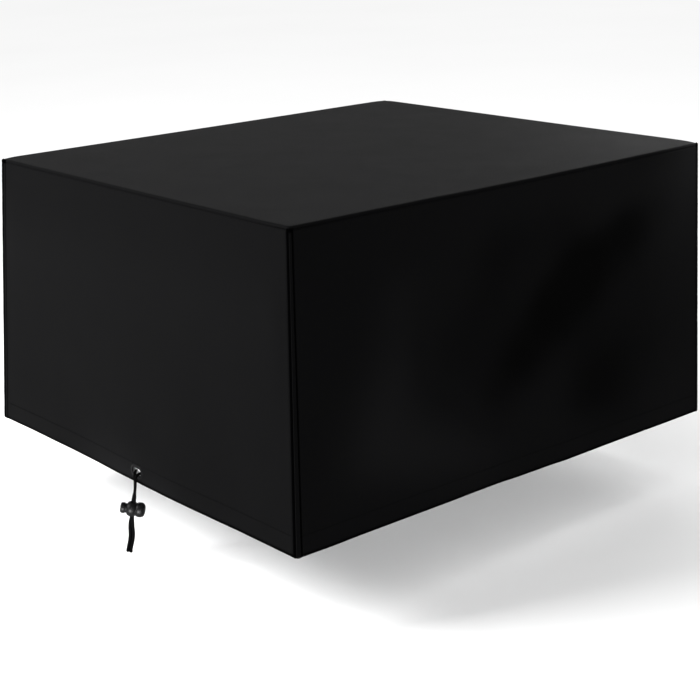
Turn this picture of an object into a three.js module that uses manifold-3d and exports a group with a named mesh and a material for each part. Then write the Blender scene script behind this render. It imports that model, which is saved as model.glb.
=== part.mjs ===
// A fitted weather cover for garden furniture: a top, four walls, bound corners and a drawcord with a cord lock.
// Sizes are millimetres. The origin is under the middle of the top, on the face that rests on the furniture.
// +Z is up, the front wall faces -Y, and the left wall, where the drawcord comes out, faces -X.
import * as THREE from 'three';
import { mergeVertices } from 'three/addons/utils/BufferGeometryUtils.js';
import Module from 'manifold-3d';

const wasm = await Module();
wasm.setup();

// Driving sizes of the cover
const TOP_LENGTH = 1206;
const TOP_WIDTH = 1095;
const WALL_DROP = 650;
const CLOTH = 2;
const GAP = 0.3;

// The top's edge, the seam that runs under it, and the bound corners
const EDGE_RADIUS = 5;
const SEAM_HEIGHT = 3.6;
const SEAM_DEPTH = 2.4;
const SEAM_SET_BACK = 0.8;
const CORNER_RADIUS_TOP = 8;
const CORNER_RADIUS_HEM = 9.5;
const BINDING_THICK = 2.5;
const BINDING_PROUD = 0.8;

// The hem: its cloth is turned up inside and lies double
const HEM_HEIGHT = 48;
const HEM_STEP = 2;
const HEM_THICK = 4.4;
const HEM_ROLL = 1.4;

// How far a wall's sewn edges dip below its face, and over what width
const SEWN_DIP = 0.9;
const SEWN_WIDTH = 3;
const SEWN_SHOULDER = 22;

// Folds fade out towards the top edge, the corners and the hem
const FOLD_FADE_TOP = 210;
const FOLD_FADE_SIDE = 70;
const FOLD_LEFT_AT_HEM = 0.45;

// Where each corner of the hem hangs, against a wall that would drop straight from the top's corner
const CORNERS = {
  front_left: { sideX: -1, sideY: -1, outX: 31.8, outY: 22.2, rise: 2.1 },
  front_right: { sideX: 1, sideY: -1, outX: 16.1, outY: 16.4, rise: -6.6 },
  back_right: { sideX: 1, sideY: 1, outX: 25, outY: 28, rise: 0 },
  back_left: { sideX: -1, sideY: 1, outX: 41.2, outY: 37.5, rise: 7.8 },
};

// How far each hem hangs under the straight line between its corners, at shares of the way along it
const HEM_LINES = {
  front: [
    [0, 0], [0.07, 0.5], [0.14, -1], [0.24, -1.3], [0.32, -1.8], [0.39, -3.1], [0.44, -3], [0.51, -0.8],
    [0.56, -0.1], [0.63, 1.8], [0.69, 2], [0.77, 1.6], [0.85, 0.8], [0.93, 0.6], [1, 0],
  ],
  right: [[0, 0], [0.3, 1.2], [0.65, -1.4], [1, 0]],
  back: [[0, 0], [0.25, -1.5], [0.6, 1.6], [0.85, -0.5], [1, 0]],
  left: [
    [0, 0], [0.14, -1.3], [0.26, -1.1], [0.36, 0.1], [0.48, 2.2], [0.56, 3.6], [0.62, 4.2], [0.68, 3.8],
    [0.76, 2.6], [0.85, 1], [0.93, 0.3], [1, 0],
  ],
};

// Each wall runs from one corner to the next. columns and rows set how finely its folds are cut.
const WALLS = [
  { name: 'front', from: 'front_left', to: 'front_right', out: [0, -1], columns: 20, rows: 13 },
  { name: 'right', from: 'front_right', to: 'back_right', out: [1, 0], columns: 11, rows: 9 },
  { name: 'back', from: 'back_right', to: 'back_left', out: [0, 1], columns: 12, rows: 9 },
  { name: 'left', from: 'back_left', to: 'front_left', out: [-1, 0], columns: 11, rows: 9 },
];

// Soft folds. along is measured from the wall's first corner and down from the top, both to the fold's two ends.
// spread is how far the fold reaches to each side, and out is how far it swells, or less than 0 for a hollow.
const FOLDS = {
  front: [
    { along: 1040, down: 120, toAlong: 800, toDown: 252, spread: 72, out: -8.5 },
    { along: 800, down: 252, toAlong: 585, toDown: 430, spread: 62, out: -6.5 },
    { along: 872, down: 440, toAlong: 845, toDown: 560, spread: 100, out: -7 },
    { along: 650, down: 70, toAlong: 430, toDown: 260, spread: 120, out: -5 },
    { along: 240, down: 450, toAlong: 440, toDown: 600, spread: 150, out: 4.5 },
    { along: 1010, down: 265, toAlong: 1060, toDown: 330, spread: 85, out: 3.5 },
  ],
  right: [
    { along: 210, down: 160, toAlong: 420, toDown: 470, spread: 110, out: -6 },
    { along: 620, down: 330, toAlong: 700, toDown: 560, spread: 130, out: 4 },
    { along: 900, down: 180, toAlong: 800, toDown: 420, spread: 100, out: -5 },
  ],
  back: [
    { along: 330, down: 300, toAlong: 230, toDown: 560, spread: 120, out: -6 },
    { along: 640, down: 180, toAlong: 700, toDown: 430, spread: 140, out: -5.5 },
    { along: 960, down: 420, toAlong: 900, toDown: 590, spread: 130, out: 4 },
  ],
  left: [
    { along: 380, down: 300, toAlong: 700, toDown: 360, spread: 210, out: 3 },
    { along: 230, down: 480, toAlong: 330, toDown: 580, spread: 110, out: -2.5 },
    { along: 850, down: 430, toAlong: 930, toDown: 590, spread: 110, out: -2.5 },
  ],
};

// The oval eyelet in the left wall's hem, and the pocket in the hem behind it
const EYELET = { along: 596.3, aboveHem: 26.5, straight: 8.5, radius: 8, slack: 1.6 };
const POCKET = { depth: 9.5, halfLength: 78, halfHeight: 16.5, backing: 2.4, shallow: 0.2 };

// The eyelet's section: how far outside its hole each point lies, and how high above the cloth
const EYELET_SECTION = [
  { beyond: 0, high: -3.4 },
  { beyond: 0, high: 0.6 },
  { beyond: 0.5, high: 1.4 },
  { beyond: 1.8, high: 1.9 },
  { beyond: 3.6, high: 1.8 },
  { beyond: 5.6, high: 1.2 },
  { beyond: 7, high: 0.35 },
  { beyond: 1.3, high: 0.35 },
  { beyond: 1.3, high: -2.35 },
  { beyond: 5.2, high: -2.35 },
  { beyond: 5.5, high: -2.9 },
  { beyond: 4.8, high: -3.5 },
  { beyond: 0.8, high: -3.7 },
];
const EYELET_ARC_STEPS = 12;

// The drawcord: two strands that leave the eyelet, pass through the cord lock and hang side by side
const CORD_DIAMETER = 6.4;
const CORD_SIDES = 8;
const CORD_STEPS = 46;
const DRAWCORD_LEFT = [
  [-632.5, -0.2, -622.3],
  [-634.8, -2.7, -622.3],
  [-637.2, -5.2, -622.3],
  [-639.5, -7.7, -622.7],
  [-641.7, -10.0, -624.0],
  [-643.5, -12.1, -625.9],
  [-644.9, -13.8, -628.6],
  [-645.8, -15.0, -631.8],
  [-646.0, -15.7, -635.3],
  [-645.8, -15.5, -644.8],
  [-645.9, -14.7, -652.2],
  [-646.3, -13.4, -659.7],
  [-647.0, -11.4, -667.6],
  [-648.2, -9.4, -675.1],
  [-649.2, -7.7, -682.0],
  [-649.9, -6.6, -688.8],
  [-652.1, -4.7, -705.3],
  [-654.3, -2.7, -721.9],
  [-655.4, -1.8, -729.2],
  [-657.3, -1.1, -738.1],
  [-658.9, -0.9, -747.3],
  [-659.6, -1.4, -756.0],
  [-659.9, -1.4, -765.9],
  [-660.8, -0.5, -774.8],
  [-661.9, 1.0, -784.1],
  [-663.5, 2.5, -792.7],
  [-665.3, 3.8, -801.7],
  [-666.1, 4.3, -807.2],
];
const DRAWCORD_RIGHT = [
  [-632.3, -21.9, -622.7],
  [-635.8, -22.2, -622.7],
  [-639.3, -22.5, -622.9],
  [-642.6, -22.9, -623.9],
  [-645.6, -23.2, -625.6],
  [-648.1, -23.4, -628.1],
  [-649.9, -23.5, -631.1],
  [-650.9, -23.5, -634.9],
  [-651.0, -22.7, -644.8],
  [-650.5, -21.0, -652.2],
  [-650.3, -19.1, -659.7],
  [-650.2, -17.4, -667.6],
  [-650.0, -16.2, -675.1],
  [-650.1, -14.6, -682.0],
  [-650.4, -13.4, -688.8],
  [-652.6, -11.4, -705.3],
  [-654.8, -9.4, -721.9],
  [-655.4, -8.7, -729.2],
  [-655.2, -7.9, -738.1],
  [-654.8, -6.9, -747.3],
  [-654.1, -6.1, -756.0],
  [-654.0, -5.5, -765.9],
  [-655.2, -5.1, -774.8],
  [-657.0, -4.3, -784.1],
  [-658.6, -2.7, -792.7],
  [-660.3, -1.2, -801.7],
  [-661.0, -0.7, -808.8],
];

// The cord lock. u runs along its axis from the closed end, which is less than 0, to the button.
const LOCK_CENTRE = new THREE.Vector3(-652.35, -8.03, -705.33);
const LOCK_AXIS = new THREE.Vector3(-0.752, 0.637, 0.173).normalize();
const LOCK_SEGMENTS = 28;
const LOCK_BORE = 10.9;
const LOCK_BORE_END = -20;
const LOCK_CORD_HOLE = 6.9;
const LOCK_PROFILE = [
  { u: -27.5, r: 0 },
  { u: -27.5, r: 6.5 },
  { u: -26.4, r: 11 },
  { u: -23.8, r: 14.4 },
  { u: -20, r: 16.2 },
  { u: -15.5, r: 16.6 },
  { u: -11.5, r: 16.1 },
  { u: -8.8, r: 14.9 },
  { u: -7.6, r: 14.2 },
  { u: -6.4, r: 14.9 },
  { u: -3.8, r: 16.4 },
  { u: -0.6, r: 17.2 },
  { u: 2.6, r: 17.4 },
  { u: 6, r: 17 },
  { u: 9.2, r: 15.8 },
  { u: 11.6, r: 14.2 },
  { u: 12.6, r: 13 },
  { u: 12.6, r: LOCK_BORE },
  { u: LOCK_BORE_END, r: LOCK_BORE },
  { u: LOCK_BORE_END, r: 0 },
];
const PLUNGER_STEM = 10.6;
const PLUNGER_END = -14.5;
const PLUNGER_TRAVEL = 4;
const PLUNGER_PROFILE = [
  { u: PLUNGER_END, r: 0 },
  { u: PLUNGER_END, r: PLUNGER_STEM },
  { u: 17.4, r: PLUNGER_STEM },
  { u: 17.4, r: 11.3 },
  { u: 18.6, r: 12 },
  { u: 22.4, r: 12 },
  { u: 25, r: 11.6 },
  { u: 26.8, r: 9.8 },
  { u: 27.5, r: 7 },
  { u: 27.5, r: 0 },
];

const material = {
  cloth: new THREE.MeshStandardMaterial({ color: 0x2a2a2c, roughness: 0.82, metalness: 0 }),
  binding: new THREE.MeshStandardMaterial({ color: 0x1a1a1b, roughness: 0.9, metalness: 0 }),
  cord: new THREE.MeshStandardMaterial({ color: 0x18181a, roughness: 0.9, metalness: 0 }),
  eyelet: new THREE.MeshStandardMaterial({ color: 0x262628, roughness: 0.35, metalness: 0.8 }),
  lock: new THREE.MeshStandardMaterial({ color: 0x202023, roughness: 0.42, metalness: 0 }),
  button: new THREE.MeshStandardMaterial({ color: 0x202023, roughness: 0.42, metalness: 0 }),
};

const cover = new THREE.Group();

function addPiece(name, geometry, finish, parent = cover) {
  const mesh = new THREE.Mesh(geometry, finish);
  mesh.name = name;
  parent.add(mesh);
  return mesh;
}

const mix = (a, b, share) => a + (b - a) * share;

const smooth = (share) => {
  const s = Math.min(1, Math.max(0, share));
  return s * s * (3 - 2 * s);
};

// Turns points and triangles into a geometry whose faces point out
function bodyOf(points, triangles) {
  let volume = 0;
  for (const [a, b, c] of triangles) {
    volume += points[a].dot(new THREE.Vector3().crossVectors(points[b], points[c]));
  }
  const turned = volume < 0 ? triangles.map(([a, b, c]) => [a, c, b]) : triangles;
  const geometry = new THREE.BufferGeometry();
  geometry.setAttribute('position', new THREE.Float32BufferAttribute(points.flatMap((p) => p.toArray()), 3));
  geometry.setIndex(turned.flat());
  return geometry;
}

// A sheet with two faces, each a grid of points with as many rows and columns as the other
function sheetBody(outer, inner) {
  const rows = outer.length;
  const columns = outer[0].length;
  const points = [...outer.flat(), ...inner.flat()];
  const front = (row, column) => row * columns + column;
  const back = (row, column) => rows * columns + front(row, column);
  const triangles = [];
  const quad = (a, b, c, d) => triangles.push([a, b, c], [a, c, d]);
  for (let r = 0; r < rows - 1; r += 1) {
    for (let c = 0; c < columns - 1; c += 1) {
      quad(front(r, c), front(r, c + 1), front(r + 1, c + 1), front(r + 1, c));
      quad(back(r, c), back(r + 1, c), back(r + 1, c + 1), back(r, c + 1));
    }
    quad(front(r, 0), front(r + 1, 0), back(r + 1, 0), back(r, 0));
    quad(front(r + 1, columns - 1), front(r, columns - 1), back(r, columns - 1), back(r + 1, columns - 1));
  }
  for (let c = 0; c < columns - 1; c += 1) {
    quad(front(0, c + 1), front(0, c), back(0, c), back(0, c + 1));
    quad(front(rows - 1, c), front(rows - 1, c + 1), back(rows - 1, c + 1), back(rows - 1, c));
  }
  return bodyOf(points, triangles);
}

// A body skinned over rings of points. It is capped at its two ends, or closed on itself.
function ringBody(rings, closed = false) {
  const count = rings[0].length;
  const points = rings.flat();
  const triangles = [];
  const at = (ring, i) => (ring % rings.length) * count + (i % count);
  const last = closed ? rings.length : rings.length - 1;
  for (let ring = 0; ring < last; ring += 1) {
    for (let i = 0; i < count; i += 1) {
      triangles.push([at(ring, i), at(ring, i + 1), at(ring + 1, i + 1)]);
      triangles.push([at(ring, i), at(ring + 1, i + 1), at(ring + 1, i)]);
    }
  }
  if (!closed) {
    for (const [ring, turn] of [[0, 1], [rings.length - 1, 0]]) {
      const middle = new THREE.Vector3();
      rings[ring].forEach((p) => middle.addScaledVector(p, 1 / count));
      points.push(middle);
      for (let i = 0; i < count; i += 1) {
        const edge = turn ? [at(ring, i + 1), at(ring, i)] : [at(ring, i), at(ring, i + 1)];
        triangles.push([...edge, points.length - 1]);
      }
    }
  }
  return bodyOf(points, triangles);
}

function toSolid(geometry) {
  const bare = geometry.clone();
  bare.deleteAttribute('normal');
  bare.deleteAttribute('uv');
  const merged = mergeVertices(bare, 1e-4);
  return new wasm.Manifold(new wasm.Mesh({
    numProp: 3,
    vertProperties: new Float32Array(merged.attributes.position.array),
    triVerts: new Uint32Array(merged.index.array),
  }));
}

function toGeometry(solid) {
  const mesh = solid.getMesh();
  const geometry = new THREE.BufferGeometry();
  geometry.setAttribute('position', new THREE.BufferAttribute(new Float32Array(mesh.vertProperties), 3));
  geometry.setIndex(new THREE.BufferAttribute(new Uint32Array(mesh.triVerts), 1));
  return geometry;
}

// The sharp corner that a wall's face would have at a share of the way from the top's face to the hem
function cornerAt(name, share) {
  const corner = CORNERS[name];
  return new THREE.Vector3(
    corner.sideX * (TOP_LENGTH / 2 + corner.outX * share),
    corner.sideY * (TOP_WIDTH / 2 + corner.outY * share),
    CLOTH - (WALL_DROP - corner.rise) * share,
  );
}

const cornerRadius = (share) => mix(CORNER_RADIUS_TOP, CORNER_RADIUS_HEM, share);

// How far a wall swells out at a place, from its folds
function foldAt(wallName, along, down, wallLength) {
  let out = 0;
  for (const fold of FOLDS[wallName]) {
    const runX = fold.toAlong - fold.along;
    const runY = fold.toDown - fold.down;
    const share = ((along - fold.along) * runX + (down - fold.down) * runY) / (runX * runX + runY * runY);
    const near = Math.min(1, Math.max(0, share));
    const awayX = along - fold.along - runX * near;
    const awayY = down - fold.down - runY * near;
    out += fold.out * Math.exp(-(awayX * awayX + awayY * awayY) / (fold.spread * fold.spread));
  }
  const sides = smooth(Math.min(along, wallLength - along) / FOLD_FADE_SIDE);
  const hem = mix(1, FOLD_LEFT_AT_HEM, smooth((down - WALL_DROP + 150) / 150));
  return out * smooth(down / FOLD_FADE_TOP) * sides * hem;
}

// How far the hem hangs down at a share of the way along it
function hemDropAt(wallName, place) {
  const rows = HEM_LINES[wallName];
  const next = Math.max(1, rows.findIndex(([share]) => share >= place));
  const [before, low] = rows[next - 1];
  const [after, high] = rows[next];
  return mix(low, high, smooth((place - before) / (after - before)));
}

// How deep the pocket in the left wall's hem is
function pocketAt(along, aboveHem) {
  const across = (along - EYELET.along) / POCKET.halfLength;
  const up = (aboveHem - EYELET.aboveHem) / POCKET.halfHeight;
  if (Math.abs(across) >= 1 || Math.abs(up) >= 1) return 0;
  return POCKET.depth * Math.cos((across * Math.PI) / 2) * Math.sqrt(1 - up * up);
}

// A point of a wall. Hollows and swells are measured along the wall's outward direction, and no hollow reaches
// further in than the top's edge, so the furniture's sides stay clear.
function wallPoint(wall, along, share, inward) {
  const start = cornerAt(wall.from, share);
  const end = cornerAt(wall.to, share);
  const point = start.clone().lerp(end, along / start.distanceTo(end));
  const length = start.distanceTo(end);
  const out = new THREE.Vector3(...wall.out, 0);
  const room = Math.max(0.1, point.dot(out) - (wall.out[0] ? TOP_LENGTH : TOP_WIDTH) / 2);
  const swell = foldAt(wall.name, along, share * WALL_DROP, length);
  const held = swell < 0 ? -room * Math.tanh(-swell / room) : swell;
  point.z -= hemDropAt(wall.name, Math.min(1, along / length)) * share * share;
  return point.addScaledVector(out, held - inward);
}

// Places spread evenly between two others, without those two
function between(start, end, count) {
  return Array.from({ length: count }, (_, i) => mix(start, end, (i + 1) / (count + 1)));
}

// Where a wall's columns stand at one height: three close together at each sewn end, and the rest between,
// with more of them at the pocket, if it has one
function columnPlaces(wall, share, pocketPlaces) {
  const length = cornerAt(wall.from, share).distanceTo(cornerAt(wall.to, share));
  const end = cornerRadius(share) + GAP;
  const near = [end, end + SEWN_WIDTH, end + SEWN_SHOULDER];
  const far = near.map((place) => length - place).reverse();
  if (!pocketPlaces.length) {
    return [...near, ...between(near[2], far[0], wall.columns), ...far];
  }
  const half = Math.floor(wall.columns / 2);
  return [
    ...near,
    ...between(near[2], pocketPlaces[0], half),
    ...pocketPlaces,
    ...between(pocketPlaces.at(-1), far[0], half),
    ...far,
  ];
}

function wallRows(count, hemHeights) {
  const top = EDGE_RADIUS + SEAM_HEIGHT + 2 * GAP;
  const rows = [
    { down: top, dip: SEWN_DIP, inner: CLOTH + SEWN_DIP / 3 },
    { down: top + SEWN_WIDTH, dip: 0, inner: CLOTH },
  ];
  const last = WALL_DROP - HEM_HEIGHT - HEM_STEP;
  for (const down of between(top + SEWN_WIDTH, last, count)) {
    rows.push({ down, dip: 0, inner: CLOTH });
  }
  rows.push({ down: last, dip: 0, inner: CLOTH });
  for (const height of hemHeights) {
    rows.push({ down: WALL_DROP - height, dip: 0, inner: HEM_THICK });
  }
  rows.push({ down: WALL_DROP - HEM_ROLL, dip: 0, inner: HEM_THICK });
  rows.push({ down: WALL_DROP, dip: HEM_ROLL, inner: HEM_THICK - HEM_ROLL });
  return rows;
}

const POCKET_COLUMNS = [-1.02, -0.8, -0.52, -0.24, 0, 0.24, 0.52, 0.8, 1.02];
const POCKET_LEVELS = [16.3, 13.5, 8, 0, -8, -13.5, -16.3];
const POCKET_HEIGHTS = [HEM_HEIGHT, ...POCKET_LEVELS.map((level) => EYELET.aboveHem + level)];

function wallGeometry(wall) {
  const hasPocket = wall.name === 'left';
  const pocketPlaces = hasPocket ? POCKET_COLUMNS.map((x) => EYELET.along + x * POCKET.halfLength) : [];
  const rows = wallRows(wall.rows, hasPocket ? POCKET_HEIGHTS : [HEM_HEIGHT, EYELET.aboveHem]);
  const outer = [];
  const inner = [];
  for (const row of rows) {
    const share = row.down / WALL_DROP;
    const places = columnPlaces(wall, share, pocketPlaces);
    outer.push(places.map((along, i) => {
      const sewn = i === 0 || i === places.length - 1 ? SEWN_DIP : 0;
      return wallPoint(wall, along, share, Math.max(row.dip, sewn));
    }));
    inner.push(places.map((along) => {
      const pocket = hasPocket ? pocketAt(along, WALL_DROP - row.down) : 0;
      const backed = pocket > 0 ? Math.max(row.inner, CLOTH + pocket + POCKET.backing) : row.inner;
      return wallPoint(wall, along, share, backed);
    }));
  }
  const geometry = sheetBody(outer, inner);
  return hasPocket ? cutEyeletHole(wall, geometry) : geometry;
}

// The place on the left wall's face where the eyelet sits: x outward, y up the wall, z along it to the back
function eyeletPlace(wall) {
  const share = 1 - EYELET.aboveHem / WALL_DROP;
  const centre = wallPoint(wall, EYELET.along, share, 0);
  const below = wallPoint(wall, EYELET.along, share + 0.02, 0);
  const before = wallPoint(wall, EYELET.along - 10, share, 0);
  const side = before.sub(centre).normalize();
  const out = new THREE.Vector3().crossVectors(centre.clone().sub(below), side).normalize();
  return new THREE.Matrix4().makeBasis(out, new THREE.Vector3().crossVectors(side, out), side).setPosition(centre);
}

// An oval ring of points, as far beyond the eyelet's hole as asked, at one height above the cloth
function ovalRing(beyond, high, place) {
  const radius = EYELET.radius + beyond;
  const points = [];
  for (const end of [1, -1]) {
    for (let i = 0; i <= EYELET_ARC_STEPS; i += 1) {
      const angle = (end === 1 ? 0 : Math.PI) - Math.PI / 2 + (Math.PI * i) / EYELET_ARC_STEPS;
      const across = end * EYELET.straight + radius * Math.cos(angle);
      points.push(new THREE.Vector3(high, radius * Math.sin(angle), across).applyMatrix4(place));
    }
  }
  return points;
}

function cutEyeletHole(wall, geometry) {
  const place = eyeletPlace(wall);
  const hole = ringBody([ovalRing(EYELET.slack, -CLOTH - 1.5, place), ovalRing(EYELET.slack, 3, place)]);
  const front = [];
  const back = [];
  const heights = [-1, -0.96, -0.8, -0.45, 0, 0.45, 0.8, 0.96, 1];
  const lengths = [-1, -0.97, -0.8, -0.52, -0.24, 0, 0.24, 0.52, 0.8, 0.97, 1];
  for (const up of heights) {
    const aboveHem = EYELET.aboveHem + up * POCKET.halfHeight;
    const share = 1 - aboveHem / WALL_DROP;
    const alongs = lengths.map((across) => EYELET.along + across * POCKET.halfLength);
    front.push(alongs.map((along) => wallPoint(wall, along, share, CLOTH)));
    back.push(alongs.map((along) => {
      const depth = Math.max(POCKET.shallow, pocketAt(along, aboveHem));
      return wallPoint(wall, along, share, CLOTH + depth);
    }));
  }
  const pocket = sheetBody(front, back);
  return toGeometry(toSolid(geometry).subtract(toSolid(pocket)).subtract(toSolid(hole)));
}

// The binding folded round one corner of the walls
function cornerBinding(name) {
  const corner = CORNERS[name];
  const outer = [];
  const inner = [];
  const rows = 11;
  const arcSteps = 6;
  const top = (EDGE_RADIUS + GAP) / WALL_DROP;
  for (let row = 0; row <= rows; row += 1) {
    const share = mix(top, 1, row / rows);
    const radius = cornerRadius(share);
    const point = cornerAt(name, share);
    const centre = new THREE.Vector3(point.x - corner.sideX * radius, point.y - corner.sideY * radius, point.z);
    const onArc = (reach) => Array.from({ length: arcSteps + 1 }, (_, i) => {
      const angle = (Math.PI / 2) * (i / arcSteps);
      return new THREE.Vector3(
        centre.x + corner.sideX * reach * Math.cos(angle),
        centre.y + corner.sideY * reach * Math.sin(angle),
        centre.z,
      );
    });
    const ends = row === 0 || row === rows ? BINDING_PROUD : 0;
    outer.push(onArc(radius + BINDING_PROUD - ends));
    inner.push(onArc(radius + BINDING_PROUD - BINDING_THICK));
  }
  return sheetBody(outer, inner);
}

// The narrow seam that runs under one edge of the top, from one bound corner to the next
function topSeam(wall) {
  const middle = (EDGE_RADIUS + GAP + SEAM_HEIGHT / 2) / WALL_DROP;
  const start = wallPoint(wall, CORNER_RADIUS_TOP + 2 * GAP, middle, 0);
  const length = cornerAt(wall.from, middle).distanceTo(cornerAt(wall.to, middle));
  const end = wallPoint(wall, length - CORNER_RADIUS_TOP - 2 * GAP, middle, 0);
  const section = [
    { inward: SEAM_SET_BACK + 0.6, up: SEAM_HEIGHT / 2 },
    { inward: SEAM_SET_BACK, up: SEAM_HEIGHT / 4 },
    { inward: SEAM_SET_BACK, up: -SEAM_HEIGHT / 4 },
    { inward: SEAM_SET_BACK + 0.6, up: -SEAM_HEIGHT / 2 },
    { inward: SEAM_SET_BACK + SEAM_DEPTH, up: -SEAM_HEIGHT / 2 },
    { inward: SEAM_SET_BACK + SEAM_DEPTH, up: SEAM_HEIGHT / 2 },
  ];
  const ring = (place) => section.map(({ inward, up }) => new THREE.Vector3(
    place.x - wall.out[0] * inward,
    place.y - wall.out[1] * inward,
    place.z + up,
  ));
  return ringBody([ring(start), ring(end)]);
}

// The top: a flat sheet with round corners, whose rim turns down over the furniture's edge
function topPanel() {
  const rim = [
    { inset: 5, z: 0 },
    { inset: 3.2, z: -0.4 },
    { inset: 2.2, z: -1.4 },
    { inset: 1.8, z: CLOTH - EDGE_RADIUS },
    { inset: 0.2, z: CLOTH - EDGE_RADIUS },
    { inset: 0.1, z: CLOTH - 3.6 },
    { inset: 0.7, z: CLOTH - 2.3 },
    { inset: 1.9, z: CLOTH - 1.1 },
    { inset: 3.5, z: CLOTH - 0.25 },
    { inset: EDGE_RADIUS + 1, z: CLOTH },
  ];
  const arcSteps = 5;
  const rings = rim.map(({ inset, z }) => {
    const radius = Math.max(CORNER_RADIUS_TOP - inset, 1);
    const halfX = TOP_LENGTH / 2 - inset - radius;
    const halfY = TOP_WIDTH / 2 - inset - radius;
    return [[1, 1, 0], [-1, 1, 1], [-1, -1, 2], [1, -1, 3]].flatMap(([sideX, sideY, quarter]) => (
      Array.from({ length: arcSteps + 1 }, (_, i) => {
        const angle = (Math.PI / 2) * (quarter + i / arcSteps);
        return new THREE.Vector3(
          sideX * halfX + radius * Math.cos(angle),
          sideY * halfY + radius * Math.sin(angle),
          z,
        );
      })
    ));
  });
  return ringBody(rings);
}

function eyelet(wall) {
  const place = eyeletPlace(wall);
  return ringBody(EYELET_SECTION.map(({ beyond, high }) => ovalRing(beyond, high, place)), true);
}

function drawcordStrand(points) {
  const section = new THREE.Shape(Array.from({ length: CORD_SIDES }, (_, i) => {
    const angle = (2 * Math.PI * i) / CORD_SIDES;
    return new THREE.Vector2(Math.cos(angle), Math.sin(angle)).multiplyScalar(CORD_DIAMETER / 2);
  }));
  const route = new THREE.CatmullRomCurve3(points.map((p) => new THREE.Vector3(...p)), false, 'centripetal');
  return new THREE.ExtrudeGeometry(section, { steps: CORD_STEPS, bevelEnabled: false, extrudePath: route });
}

// A turned piece whose axis lies along x
function turned(profile) {
  const outline = profile.map(({ u, r }) => new THREE.Vector2(r, u));
  return new THREE.LatheGeometry(outline, LOCK_SEGMENTS).rotateZ(-Math.PI / 2);
}

// A round bar across the lock, with a stretch that makes it oval along the axis
function cordHole(stretch) {
  const ring = (height) => Array.from({ length: 2 * LOCK_SEGMENTS + 2 }, (_, i) => {
    const half = i <= LOCK_SEGMENTS ? 1 : -1;
    const angle = Math.PI * ((half === 1 ? i : i - 1) / LOCK_SEGMENTS) - Math.PI / 2;
    return new THREE.Vector3(
      (half === 1 ? stretch : 0) + LOCK_CORD_HOLE * Math.cos(angle),
      LOCK_CORD_HOLE * Math.sin(angle),
      height,
    );
  });
  return ringBody([ring(-30), ring(30)]);
}

function addCordLock() {
  const lock = new THREE.Group();
  const across = new THREE.Vector3(0, 0, 1).cross(LOCK_AXIS).normalize();
  const up = new THREE.Vector3().crossVectors(LOCK_AXIS, across);
  lock.setRotationFromMatrix(new THREE.Matrix4().makeBasis(LOCK_AXIS, across, up));
  lock.position.copy(LOCK_CENTRE);
  const body = toSolid(turned(LOCK_PROFILE)).subtract(toSolid(cordHole(0.01)));
  const plunger = toSolid(turned(PLUNGER_PROFILE)).subtract(toSolid(cordHole(PLUNGER_TRAVEL)));
  addPiece('cord_lock_body', toGeometry(body), material.lock, lock);
  addPiece('cord_lock_button', toGeometry(plunger), material.button, lock);
  cover.add(lock);
}

addPiece('top_panel', topPanel(), material.cloth);
for (const wall of WALLS) {
  addPiece(`${wall.name}_wall`, wallGeometry(wall), material.cloth);
  addPiece(`${wall.name}_top_seam`, topSeam(wall), material.binding);
}
for (const name of Object.keys(CORNERS)) {
  addPiece(`${name}_corner_binding`, cornerBinding(name), material.binding);
}
addPiece('drawcord_eyelet', eyelet(WALLS[3]), material.eyelet);
addPiece('drawcord_left_strand', drawcordStrand(DRAWCORD_LEFT), material.cord);
addPiece('drawcord_right_strand', drawcordStrand(DRAWCORD_RIGHT), material.cord);
addCordLock();

export default cover;
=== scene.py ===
import math

import bmesh
import bpy
from mathutils import Matrix, Vector, noise


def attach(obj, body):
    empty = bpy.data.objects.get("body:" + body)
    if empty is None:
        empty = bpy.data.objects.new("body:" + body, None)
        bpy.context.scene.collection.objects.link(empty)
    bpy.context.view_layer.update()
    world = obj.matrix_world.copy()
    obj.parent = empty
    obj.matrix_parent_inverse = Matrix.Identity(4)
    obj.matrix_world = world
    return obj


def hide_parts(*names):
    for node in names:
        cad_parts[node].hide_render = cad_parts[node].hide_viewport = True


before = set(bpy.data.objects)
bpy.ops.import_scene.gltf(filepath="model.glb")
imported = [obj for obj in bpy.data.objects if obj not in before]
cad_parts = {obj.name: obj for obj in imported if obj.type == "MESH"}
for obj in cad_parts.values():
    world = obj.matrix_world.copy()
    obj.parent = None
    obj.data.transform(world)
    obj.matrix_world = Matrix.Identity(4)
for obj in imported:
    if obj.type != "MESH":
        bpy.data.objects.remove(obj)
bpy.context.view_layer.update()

# Lengths here are millimetres, and MM turns them into Blender's metres.
MM = 0.001
TAU = 2 * math.pi
COVER_BODY = "cover"
BUTTON_BODY = "lock_button"

# Driving sizes of the cover
TOP_LENGTH = 1206
TOP_WIDTH = 1095
TOP_Z = 2.0
WALL_DROP = 650
CLOTH_THICK = 0.8

# The top: places inset from its outline, its margin under the edge as (inset, height), and its waves as
# (height, length, seed)
EDGE_RADIUS = 5.0
CORNER_RADIUS_TOP = 8.0
CORNER_RADIUS_HEM = 9.5
TOP_RIM = [0, 0.6, 1.3, 2.1, 3, 4, EDGE_RADIUS, 6.5, CORNER_RADIUS_TOP]
TOP_PITCH = 9
TOP_TUCKED = [(0.5, -3.3), (1.6, -3.5), (2.8, -3.5)]
TOP_WAVES = [(0.5, 260, 4.4), (0.12, 75, 9.2)]
TOP_WAVES_FADE = 90
CORNER_DROOP = 2.2
CORNER_DROOP_REACH = 34
CORNER_DROOP_FALL = 2.5

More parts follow.
